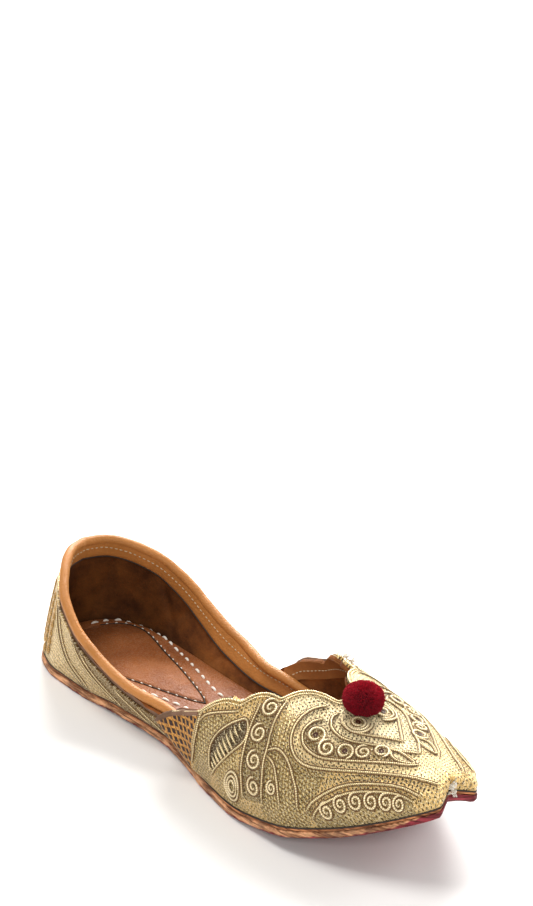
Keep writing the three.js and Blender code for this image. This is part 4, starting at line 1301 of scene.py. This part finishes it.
# painted shade: the ground under each spiral is darker, for the shade between its raised coils
for x, y, radius, hole in SPIRALS:
    paint(smooth(radius + 0.2, radius - 0.5, np.hypot(X - x, Y - y)), np.array([0.26, 0.16, 0.05]), -1)
# painted shade: darker brown beside every cord, where the raised cord shades the gold ground
for line in LIGHT_LINES:
    gap = distance(spline(line, 1.2), X, Y)
    paint(0.42 * smooth(1.1, 0.6, gap), BROWN * 1.6, -1)
tone = 0.5 + 0.5 * np.sin(X * 0.37 + 1.3 * np.sin(Y * 0.21)) * np.sin(Y * 0.33 + 0.8 * np.sin(X * 0.17))
# painted shade: besides the uneven tone, the colours grow darker low on the side, toward the sole
colours *= ((0.86 + 0.2 * tone) * (1 - 0.2 * smooth(34, 56, Y)))[:, None]
chart = np.stack([carry[:, 3], carry[:, 4], zone], -1)
piece("vamp_cover", points, tris, gold_cloth, ["vamp_cover"], colours=colours, chart=chart)

# %% [markdown]
# The bright cords and spirals come next. They stop a little inside the cut edge of the gold
# leather, where the edge cord will run.

# %% Cords and spirals of the vamp


def gold_keep(path):
    return np.minimum(vamp_keep(path, 0.9), path[:, 0] - gold_line(path[:, 2]) - 0.2)


p, tris, marks = cords(main_lines, on_vamp, 0.35, 0.42, gold_keep)
piece("vamp_cords", p, tris, gold_cord, chart=marks)
p, tris, marks = cords(spiral_lines, on_vamp, 0.47, 0.50, gold_keep, 0.45)
piece("vamp_spirals", p, tris, spiral_cord, chart=marks)


# %% Dark lines of painted shade beside the cords
def beside(line, gap):
    """Line moved sideways in the chart."""
    fine = spline(line, 0.8)
    ahead = np.gradient(fine, axis=0)
    ahead /= np.linalg.norm(ahead, axis=1, keepdims=True) + 1e-9
    return fine + np.stack([-ahead[:, 1], ahead[:, 0]], -1) * gap


painted_shade_lines = []
for line in LIGHT_LINES:
    for gap in (0.72, -0.72):
        painted_shade_lines += mirrored([tuple(q) for q in beside(line, gap)[::2]])
p, tris, marks = cords(painted_shade_lines + shade_lines, on_vamp, 0.21, 0.28, gold_keep, 0.6, 5)
piece("shade_cords", p, tris, brown_cord, chart=marks)


# %% [markdown]
# Rows of small dark holes follow the main lines, where the needle went through. Each is a
# small fan of triangles, and all of them are one mesh.

# %% Needle holes
def holes(line, gap, pitch, size):
    """Row of needle holes beside a line: flat dark dots."""
    row = spline(beside(line, gap), pitch)
    path, up = on_vamp(row, 0.12)
    good = gold_keep(path) > 0.4
    parts = []
    for spot, normal in zip(path[good], up[good]):
        side = np.cross(normal, [0.3, 0.8, 0.5])
        side /= np.linalg.norm(side)
        top = np.cross(normal, side)
        a = np.linspace(0, 2 * np.pi, 7)[:-1]
        rim = spot + size * (np.cos(a)[:, None] * side * 1.25 + np.sin(a)[:, None] * top * 0.8)
        fan_tris = np.array([[k, (k + 1) % 6, 6] for k in range(6)])
        parts.append((np.vstack([rim, spot + 0.08 * normal]), fan_tris))
    return parts


parts = []
for line, gaps in (
    (PAISLEY, (1.7, -1.7, -3.5)),
    (BAND_OUT, (1.6, 3.3)),
    (ARCH, (1.7, 3.4, -1.7)),
    (ARCH_IN, (1.7,)),
    (LOW_ARCH, (1.6, -1.6, -3.4)),
    (COLUMN_BACK, (1.5, -1.5)),
    (COLUMN_FRONT, (1.5, -1.5)),
    (HALF_OUT, (1.5,)),
    (LOBE, (1.7, -1.6)),
):
    for gap in gaps:
        for m in mirrored(line):
            sign = 1 if m is line else -1
            parts += holes(m, gap * sign, 1.7, 0.33)
p, tris = joined(parts)
piece("needle_holes", p, tris, dark_thread)

# %% Dark holes of the rings
parts = []
for x, y, radius in sequins:
    centre, up = on_vamp([(x, y)], 0.55)
    side = np.cross(up[0], [0, 1, 0.3])
    side /= np.linalg.norm(side)
    top = np.cross(up[0], side)
    a = np.linspace(0, 2 * np.pi, 19)[:-1]
    rim = centre + radius * (np.cos(a)[:, None] * side + np.sin(a)[:, None] * top)
    low = centre[0] - 0.35 * up[0]
    parts.append((np.vstack([rim, low]), np.array([[k, (k + 1) % 18, 18] for k in range(18)])))
p, tris = joined(parts)
piece("sequins", p, tris, sequin)

# %% Ribs of the leaf
ribs = []
for k in range(11):
    share = (k + 0.5) / 11
    a = np.array([158.6, 38.6]) * (1 - share) + np.array([149.2, 64.5]) * share
    width = 4.6 * math.sin(math.pi * min(share * 0.85 + 0.12, 1))
    rear, front = a + np.array([-0.8, -0.2]) * width * 0.6, a + np.array([1.0, 0.75]) * width
    ribs.append([tuple(rear), tuple(a + np.array([0.6, 1.4])), tuple(front)])
rib_lines = [m for line in ribs for m in mirrored(line)]
p, tris, marks = cords(rib_lines, on_vamp, 0.55, 0.25, gold_keep, 0.5)
piece("leaf_ribs", p, tris, gold_cord, chart=marks)

# %% [markdown]
# A thick and a thin gold cord run along the cut edge of the throat and down the front of each
# wing. Their line is found on the dome from above, and on the wing from the side.

# %% Edge cord of the throat and wing
def plan_to_vamp(points, lift):
    """Plan points on the dome of the vamp to places on its leather."""
    out, normals = [], []
    for x, y in points:
        index = np.interp(x, station, np.arange(len(station)))
        rows_ = np.arange(table["pos"].shape[0])
        pos, normal = sample(np.full(len(rows_), index), rows_.astype(float))
        level = np.argmax(pos[:, 1] > abs(y)) if (pos[:, 1] > abs(y)).any() else np.argmax(pos[:, 1])
        level = max(level, 1)
        a, b = pos[level - 1], pos[level]
        share = np.clip((abs(y) - a[1]) / max(b[1] - a[1], 1e-6), 0, 1)
        spot = a + (b - a) * share
        n = normal[level]
        spot = spot + n * (lap(spot[0], spot[2]) + COVER + lift)
        flip = np.array([1, -1 if y < 0 else 1, 1])
        out.append(spot * flip)
        normals.append(n * flip)
    return np.array(out), np.array(normals)


def surface_line(line_xz, side, lift=0.0):
    """Side view line (x, z) to places on the vamp leather, or on the form for a lift below -1."""
    out, normals = [], []
    rows_ = np.arange(table["pos"].shape[0], dtype=float)
    for x, z in spline(line_xz, 0.8):
        index = np.interp(x, station, np.arange(len(station)))
        pos, normal = sample(np.full(len(rows_), index), rows_)
        height = lap(pos[:, 0], pos[:, 2]) + COVER + lift if lift > -1 else lift + 0 * pos[:, 0]
        pos = pos + normal * height[:, None]
        level = int(np.argmin(np.abs(pos[:, 2] - z)))
        flip = np.array([1, side, 1])
        out.append(pos[level] * flip)
        normals.append(normal[level] * flip)
    return np.array(out), np.array(normals)


# %% Cords on the edge
edge_parts, edge_marks = [], []
for side in (1, -1):
    for grow, radius in ((0.55, 0.5), (1.9, 0.34)):
        line = [(x, side * y) for x, y in throat_line(grow)[2:]]
        line = spline(line, 0.8)
        line = line[line[:, 0] > 150]
        path, up = plan_to_vamp(line, 0.15)
        rise, rise_up = surface_line([(x, z - grow + 0.5) for x, z in RISE[::-1]], side, 0.15)
        path = soften(np.vstack([path, rise]), 5)
        up = np.vstack([up, rise_up])
        p, t = tube(path, up, radius, 6, 0.8)
        edge_parts.append((p, t))
        run, turn = np.repeat(np.arange(len(path)) * 0.8, 6), np.tile(np.arange(6) / 6, len(path))
        edge_marks.append(np.stack([run, turn, 0 * run], -1))
p, tris = joined(edge_parts)
piece("edge_cords", p, tris, gold_cord, chart=np.vstack(edge_marks))

# %% [markdown]
# ## Woven side panels
# Behind the gold leather each side has a panel of orange yarn woven with open slots. The slots
# are small and regular, so they are drawn by the surface finish.

# %% Weave panels
p_side = patch(travels(104, 142, 130), 200)
side_height = lap(p_side["pos"][..., 0], p_side["pos"][..., 2]) + COVER - 0.25
pts = raised(p_side, side_height)
points, carry, tris = both_sides(p_side, pts)
z = points[:, 2]
keep = np.minimum(vamp_keep(points), gold_line(z) - 0.3 - points[:, 0])
keep = np.minimum(keep, points[:, 0] - wing_line(z))
points, carry, tris = clip(points, carry, tris, keep)
points, carry, tris = turned_in(points, carry, tris, COVER)
for name, sign in (("weave_panel_left", 1), ("weave_panel_right", -1)):
    pick = (points[tris][:, :, 1] * sign > 0).all(1)
    ids, faces = np.unique(tris[pick], return_inverse=True)
    chart = carry[ids][:, 3:5]
    piece(name, points[ids], faces.reshape(-1, 3), weave, [name], chart=chart)

# %% Edge strip of the wing
parts = []
WING_TOP = [(111, 20.4), (115.5, 24.4), (121, 28.6), (128, 31.7), (135, 34.8)]
for side in (1, -1):
    path, up = surface_line(WING_TOP, side)
    path = spline(path, 0.8)
    up = np.array([up[min(int(i * len(up) / len(path)), len(up) - 1)] for i in range(len(path))])
    slim = 1.25 * np.clip(0.3 + np.arange(len(path)) / 10, 0, 1)
    parts.append(tube(path + up * -0.2, up, slim, 12, 0.75))
p, tris = joined(parts)
piece("wing_edge", p, tris, edge_leather)

# %% [markdown]
# ## Gold quarter
# The quarter wraps the heel. Its threads run in slanting bands, light and dark by turns, with
# orange loops at the back of the heel.

# %% Quarter leather
p_back = patch(travels(0, 140, 260), 150)
run = p_back["t"][None, :] + 0 * p_back["pos"][..., 0]
high = (1 - np.linspace(0, 1, 150))[:, None] * p_back["length"]
p_back["chart"] = np.stack([run, high], -1)
SWEEP = [
    [(42.5, 34), (44.2, 30), (46, 25.7), (50, 18), (55, 10.8), (60, 6.8), (64.5, 4), (69, 0)],
    [(46, 34), (47.6, 30), (49.4, 26), (53.4, 18.6), (58.2, 12), (63, 8.2), (68, 5), (73, 0)],
    [(60, 30), (63, 24), (67.5, 18), (74, 12.6), (81, 8), (87, 4), (91, 0)],
    [(63, 30), (66, 24.6), (70.6, 19), (77, 13.8), (84, 9), (90, 5), (95, 0)],
    [(84, 22), (89, 16), (96, 11), (104, 7), (112, 2.5)],
    [(97, 20), (102, 15), (109, 10), (117, 5.5), (124, 2)],
]
stripe = 0 * run
for line in SWEEP:
    stripe = np.maximum(stripe, np.exp(-((distance(spline(line, 2), run, high) / 1.3) ** 2)))
pts = raised(p_back, GAP + COVER + 0.3 * stripe)
points, carry, tris = both_sides(p_back, pts)
top = open_height(points[:, 0], -EDGE_BELOW, 0.0) - 3.4 * smooth(132, 122, points[:, 0])
ahead = np.interp(points[:, 2], [4, 18], [132, 114]) - points[:, 0]
keep = np.minimum(top - points[:, 2], ahead)
points, carry, tris = clip(points, carry, tris, keep)
points, carry, tris = turned_in(points, carry, tris, COVER)
S, H = carry[:, 3], np.abs(carry[:, 4])
colours = np.tile(np.array([0.78, 0.58, 0.31]), (len(S), 1))
zone = np.full(len(S), 1.0)
# partly the olive pattern of the quarter, partly painted shadow: its low front part is painted darker
paint(smooth(70, 88, S + 0.9 * (H - 8)) * 0.85, np.array([0.24, 0.15, 0.05]), 0)
for k in (0, 2):
    strip_area = SWEEP[k] + SWEEP[k + 1][::-1]
    paint(0.8 * smooth(-0.6, 0.3, signed(spline(strip_area, 1.5), S, H)), np.array([0.17, 0.10, 0.04]), 0)
# painted shade: darker brown along every band line, beside the raised cords
for line in SWEEP:
    paint(0.8 * smooth(1.5, 0.7, distance(spline(line, 1.5), S, H)), BROWN * 1.3, -1)
heel = smooth(44, 36, S)
paint(heel * 0.75, np.array([0.46, 0.29, 0.09]), 1)
chart = np.stack([S, H, zone], -1)
piece("quarter_cover", points, tris, quarter_cloth, ["quarter_cover"], colours=colours, chart=chart)


# %% [markdown]
# Pairs of cords frame the slanting bands. They are laid like those of the vamp, in a chart of
# travel round the sole and height up the wall.

# %% Cords of the quarter
def quarter_keep(path):
    top = open_height(path[:, 0], -EDGE_BELOW, 0.0) - 3.9
    ahead = np.interp(path[:, 2], [4, 18], [132, 114]) - path[:, 0]
    foot = path[:, 2] - ground(path[:, 0], path[:, 1]) - FOOT_LINE
    return np.minimum(np.minimum(top - path[:, 2], ahead - 0.5), foot)


bands, shadows = [], []
for line in SWEEP:
    for side in (1, -1):
        bands.append([(side * a, b) for a, b in line])
        shadows += [[(side * a, b) for a, b in beside(line, gap)[::2]] for gap in (0.9, -0.9)]
p, tris, marks = cords(bands, on_quarter, 0.38, 0.3, quarter_keep, 0.7, 5)
piece("quarter_cords", p, tris, gold_cord, chart=marks)
p, tris, marks = cords(shadows, on_quarter, 0.3, 0.15, quarter_keep, 0.8, 5)
piece("quarter_shade_cords", p, tris, brown_cord, chart=marks)

# %% [markdown]
# The back of the heel is filled with rows of small orange curls. One curl is a short spiral,
# set again and again in leaning columns.

# %% Heel loops
# columns of loops: travel, lean, radius
LOOP_COLUMNS = [(4, 0, 2.3), (11, 0, 2.3), (18, 0, 2.3), (25, 0, 2.3), (32, 0.4, 2.3), (38, 0.75, 2.2)]
loops = []
for side in (1, -1):
    for k in range(7):
        for s0, lean, size in LOOP_COLUMNS:
            h = 3.6 + 4.9 * k + (2.4 if s0 in (11, 25, 38) else 0)
            turn = np.linspace(0, 3.6 * np.pi, 40)
            size_now = np.linspace(0.5, size, 40)
            middle = s0 + lean * k * 0.9
            curl = zip(middle + size_now * np.cos(turn), h + 1.1 * size_now * np.sin(turn))
            loops.append([(side * a, b) for a, b in curl])
p, tris, marks = cords(loops, on_quarter, 0.42, 0.3, quarter_keep, 0.5, 5)
piece("heel_loops", p, tris, orange_cord, chart=marks)

# %% [markdown]
# ## Collar binding
# A strip of tan leather is rolled over the edge of the collar and sewn down inside. The roll is
# a tube along the collar line, and the facing is a thin strip with rounded edges below it.

# %% Collar roll and facing
def level_line(offset, drop, end):
    """Places on the moved form where the height equals the collar less a drop, left half."""
    found, normals = [], []
    pos = table["pos"] + table["normal"] * offset(table["pos"][..., 0])[..., None]
    for i in range(pos.shape[1]):
        x, z = pos[:, i, 0], pos[:, i, 2]
        gap = z - (collar_at(x) - drop)
        level = np.flatnonzero((gap[:-1] > 0) & (gap[1:] <= 0))
        if len(level) == 0 or x[level[-1]] > end:
            continue
        k = level[-1]
        share = gap[k] / (gap[k] - gap[k + 1])
        found.append(pos[k, i] + (pos[k + 1, i] - pos[k, i]) * share)
        normals.append(table["normal"][k, i])
    return np.array(found), np.array(normals)


def whole(line, normals):
    flip = np.array([1, -1, 1])
    first = 1 if line[0][1] < 0.05 else 0
    return np.vstack([line[::-1] * flip, line[first:]]), np.vstack([normals[::-1] * flip, normals[first:]])


roll, _ = whole(*level_line(lambda x: -WALL / 2 - 3.4 * smooth(82, 110, x), 0, 131))
roll = spline(soften(roll, 6)[::3], 0.8)
up = np.tile([0.0, 0, 1.0], (len(roll), 1))
wear = 0.05 * np.sin(np.arange(len(roll)) * 0.21) + 0.03 * np.sin(np.arange(len(roll)) * 0.57)
p1, t1 = tube(roll, up, PIPING + wear, 22)
rails = []
# rails of the facing: drop below the collar line, depth inward
RAILS = [(-0.3, 1.6), (0.5, 1.9), (1.6, 2.05), (4.2, 2.1), (7.0, 2.1), (8.2, 2.0), (8.55, 1.7), (8.4, 1.2)]
for drop, depth in RAILS:
    line, _ = whole(*level_line(lambda x, d=depth: 0 * x - 0.75 - d, drop, 130))
    rails.append(spline(soften(line, 6)[::3], 0.8))
count = min(len(r) for r in rails)
rails = [r[np.linspace(0, len(r) - 1, count).astype(int)] for r in rails]
grid = np.array(rails)
p2, t2 = grid.reshape(-1, 3), strip(len(rails), count)
p, tris = joined([(p1, t1), (p2, t2)])
piece("collar_binding", p, tris, tan_leather, ["collar_binding"])

# %% [markdown]
# A machine seam of pale thread holds the facing. Its stitches are small arches along a line
# a few millimetres below the collar, and the cut edge below shows as a dark line.

# %% Seam of the facing
seam, _ = whole(*level_line(lambda x: 0 * x - 0.75 - 2.12, 3.4, 128))
seam = spline(soften(seam, 6)[::3], 0.8)
inward = np.cross(np.gradient(seam, axis=0), [0, 0, 1.0])
inward /= np.linalg.norm(inward, axis=1, keepdims=True) + 1e-9
toward = np.array([80.0, 0, 30]) - seam
inward *= np.sign((inward * toward).sum(1, keepdims=True))
pale_thread = Nodes("pale_thread", (0.62, 0.50, 0.32), 0.6).material
p, tris = joined(dashes(seam, inward, 2.3, 1.35, 0.26, 0.22, 0.08))
piece("facing_stitches", p, tris, pale_thread)
lower, _ = whole(*level_line(lambda x: 0 * x - 0.75 - 1.75, 8.75, 130))
lower = spline(soften(lower, 6)[::3], 0.8)
p, tris = tube(lower, np.tile([0.0, 0, 1.0], (len(lower), 1)), 0.42, 6)
piece("facing_edge", p, tris, dark_thread)

# %% [markdown]
# The wings are faced inside with a smooth band of the same leather. It is the form moved
# inward and cut between the rim and a line below it, with a seam like that of the collar.

# %% Facing of the wings
p_wing = patch(travels(104, 190, 220), 170)
pts = raised(p_wing, -WALL - 0.4)
points, carry, tris = both_sides(p_wing, pts)
shape = points + carry[:, :3] * (WALL + 0.4)
edge = np.minimum(open_height(shape[:, 0], -EDGE_BELOW, 0.0) - shape[:, 2], throat_keep(shape, 0.0))
foot_line = np.interp(shape[:, 0], [112, 121, 135, 147, 160, 175, 190], [11.5, 20, 26.5, 33.5, 38, 41, 43])
keep = np.minimum(np.minimum(edge - 0.2, shape[:, 2] - foot_line), shape[:, 0] - 112)
points, carry, tris = clip(points, carry, tris[:, ::-1], keep)
carry[:, :3] *= -1
points, carry, tris = turned_in(points, carry, tris, 0.6, 0.2)
wing_leather = leather("wing_leather", (0.36, 0.145, 0.042), (0.24, 0.085, 0.022), 0.55, 1500, 0.00012, 40)
piece("wing_facing", points, tris, wing_leather)
parts = []
for side in (1, -1):
    line = [(115, 19.5), (121, 24.6), (128, 28), (135, 31), (141, 34.8), (147, 38), (156, 41)]
    path, up = surface_line(line, side, -WALL - 1.0)
    parts += dashes(soften(path, 5), -up, 2.3, 1.35, 0.24, 0.2, 0.08)
p, tris = joined(parts)
piece("wing_stitches", p, tris, pale_thread)

# %% [markdown]
# ## Pompom and thread tie
# The pompom is wool yarn wrapped, tied and trimmed to a ball. Thousands of thin tapered hairs
# round a core give its soft outline; the dark core and dark roots are painted shade deep in the
# wool, and hairs pointing up get a painted highlight. A loose white thread ties the toe lobes together.

# %% Pompom
CENTRE = np.array([192.5, 0.0, float(crown_at(192.5)) + 6.6])

SQUASH = 0.80


def wool(count):
    parts, shades = [], []
    z = 1 - 2 * (np.arange(count) + 0.5) / count
    turn = np.pi * (3 - math.sqrt(5)) * np.arange(count)
    level = np.sqrt(1 - z * z)
    ways = np.stack([np.cos(turn) * level, np.sin(turn) * level, z], -1)
    ways += rng.normal(0, 0.07, ways.shape)
    ways /= np.linalg.norm(ways, axis=1, keepdims=True)
    for way in ways:
        if way[2] < -0.75:
            continue
        bend = np.cross(way, rng.normal(size=3))
        reach = 8.7 + 0.22 * rng.normal() + 0.25 * math.sin(way[0] * 9) * math.sin(way[1] * 8)
        spots = np.array([[5.6], [7.2], [reach]])
        line = way * spots + bend * np.array([[0], [0.12], [0.55]])
        line[:, 2] *= SQUASH
        helper = np.cross(way, [0.3, 0.5, 0.8])
        helper /= np.linalg.norm(helper)
        p, t = tube(line + CENTRE, np.tile(helper, (3, 1)), [0.30, 0.27, 0.13], 3, cap=False)
        parts.append((p, t))
        shade = 0.55 + 0.5 * rng.random()
        # painted highlight and shade: hairs pointing up get brighter tips, and every root is dark as painted
        # shade deep in the wool
        tip = np.array([0.36, 0.006, 0.018]) * shade * (1.1 + 0.4 * way[2])
        root = np.array([0.08, 0.001, 0.004]) * shade
        shades.append(np.repeat(np.stack([root, (root + tip) / 2, tip]), 3, 0))
    a = np.linspace(0, np.pi, 17)
    b = np.linspace(0, 2 * np.pi, 33)[:-1]
    u, v = [k.ravel() for k in np.meshgrid(a, b, indexing="ij")]
    core = np.stack([np.sin(u) * np.cos(v), np.sin(u) * np.sin(v), SQUASH * np.cos(u)], -1)
    parts.append((core * 6.6 + CENTRE, strip(17, 32, True)))
    # painted shade: the core is nearly black, for the shade inside the ball
    shades.append(np.tile([0.07, 0.002, 0.008], (len(core), 1)))
    p, t = joined(parts)
    return p, t, np.vstack(shades)


# %% Wool finish and the ball
n = Nodes("wool", (0.4, 0.02, 0.06), 0.9, 0.0, 0.2)
n.set(n.shader, "Base Color", n.attribute("tint", "Color"))
n.shader.inputs["Sheen Weight"].default_value = 0.05
n.shader.inputs["Sheen Roughness"].default_value = 0.5
n.shader.inputs["Sheen Tint"].default_value = (1.0, 0.35, 0.45, 1)
p, tris, shade = wool(6500)
piece("pompom", p, tris, n.material, ["pompom"], colours=shade)

# %% [markdown]
# Loose ends of thread stand at the toe and at the notch of the far wing. Each is a short bent
# cord with a seeded random shape, so the lesson gives the same threads every time.

# %% Thread tie at the toe
ties = []
for k in range(16):
    y0, y1 = rng.uniform(-1.6, 1.6, 2)
    x = 244.3 + rng.uniform(-1.2, 1.0)
    z = 39.5 + rng.uniform(-2.6, 2.6)
    mid = (x + 1.4 + rng.uniform(0, 0.9), (y0 + y1) / 2, z + rng.uniform(-1.4, 1.0))
    line = spline([(x, y0 * 1.5, z), mid, (x - 0.2, y1 * 1.5, z - rng.uniform(0.5, 2.4))], 0.4)
    ties.append(tube(line, np.tile([0.2, 0, 1.0], (len(line), 1)), 0.2, 5))
p, tris = joined(ties)
piece("toe_tie", p, tris, white_thread)

# %% Loose thread at the notch of the far wing
bits = []
tip, tip_up = plan_to_vamp([(151.5, 30.2)], 0.4)
for k in range(22):
    a = tip[0] + rng.normal(0, 1.0, 3) * np.array([2.6, 0.8, 0.9])
    line = spline([a, a + rng.normal(0, 0.9, 3) + tip_up[0] * 0.4, a + rng.normal(0, 1.3, 3)], 0.4)
    bits.append(tube(line, np.tile(tip_up[0], (len(line), 1)), 0.2, 5))
silver_thread = Nodes("silver_thread", (0.62, 0.54, 0.44), 0.5, 0.3).material
p, tris = joined(bits)
piece("notch_thread", p, tris, silver_thread)

# %% [markdown]
# ## Floor, light and camera
# A plain pale floor, a large soft light from the upper left and a weak fill keep the colours
# true. The camera looks at the shoe from the side of the toe and a little above, with a long
# lens, and is rolled so that the shoe lies as in the photograph.

# %% Floor and lights
bpy.ops.mesh.primitive_plane_add(size=8, location=(0, 0, 0))
floor = bpy.context.object
floor.name = "floor"
floor.data.materials.append(Nodes("pale_floor", (0.80, 0.79, 0.78), 0.7).material)

# %% Even daylight
world = bpy.data.worlds.new("studio")
world.use_nodes = True
background = world.node_tree.nodes["Background"]
background.inputs[0].default_value = (1.0, 0.985, 0.965, 1)
background.inputs[1].default_value = 0.42
bpy.context.scene.world = world


# %% Lamps
def lamp(name, kind, place, strength, size, colour=(1, 1, 1)):
    """A sun or an area lamp that looks at the shoe."""
    light = bpy.data.lights.new(name, kind)
    light.energy, light.color = strength, colour
    if kind == "SUN":
        light.angle = size
    else:
        light.size = size
    thing = bpy.data.objects.new(name, light)
    thing.location = place
    way = Vector((0.03, 0, 0.02)) - Vector(place)
    thing.rotation_euler = way.to_track_quat("-Z", "Y").to_euler()
    bpy.context.scene.collection.objects.link(thing)


lamp("key", "SUN", (-0.45, -0.25, 1.2), 1.7, 0.45, (1.0, 0.985, 0.96))
lamp("fill", "AREA", (1.0, -1.0, 0.9), 9.5, 0.5, (1.0, 0.98, 0.96))
lamp("back", "AREA", (-0.75, 0.85, 0.75), 34, 0.8, (1.0, 0.99, 0.97))
lamp("side", "AREA", (0.4, 1.0, 0.7), 5, 0.5, (0.98, 0.99, 1.0))

# %% [markdown]
# The place and the three axes of the camera come from a fit to points of the shoe in the
# photograph. A long lens keeps the toe and the heel in the same proportion as there.

# %% Camera
# lens length and picture width in pixels, place in metres, and the three axes of the picture
SENSOR, FOCAL, PICTURE_WIDTH = 36, 2500, 533
PLACE = (0.676065, -0.660042, 0.566008)
RIGHT = (0.67471, 0.73488, 0.06865)
DOWN = (0.34524, -0.23202, -0.90938)
AHEAD = (-0.65236, 0.63727, -0.41026)
camera_data = bpy.data.cameras.new("camera")
camera_data.sensor_fit = "HORIZONTAL"
camera_data.sensor_width = SENSOR
camera_data.lens = SENSOR * FOCAL / PICTURE_WIDTH
camera = bpy.data.objects.new("camera", camera_data)
camera.matrix_world = Matrix(
    [
        *[(RIGHT[k], -DOWN[k], -AHEAD[k], PLACE[k]) for k in range(3)],
        (0, 0, 0, 1),
    ]
)
bpy.context.scene.collection.objects.link(camera)
bpy.context.scene.camera = camera
bpy.context.scene.view_settings.view_transform = "Standard"
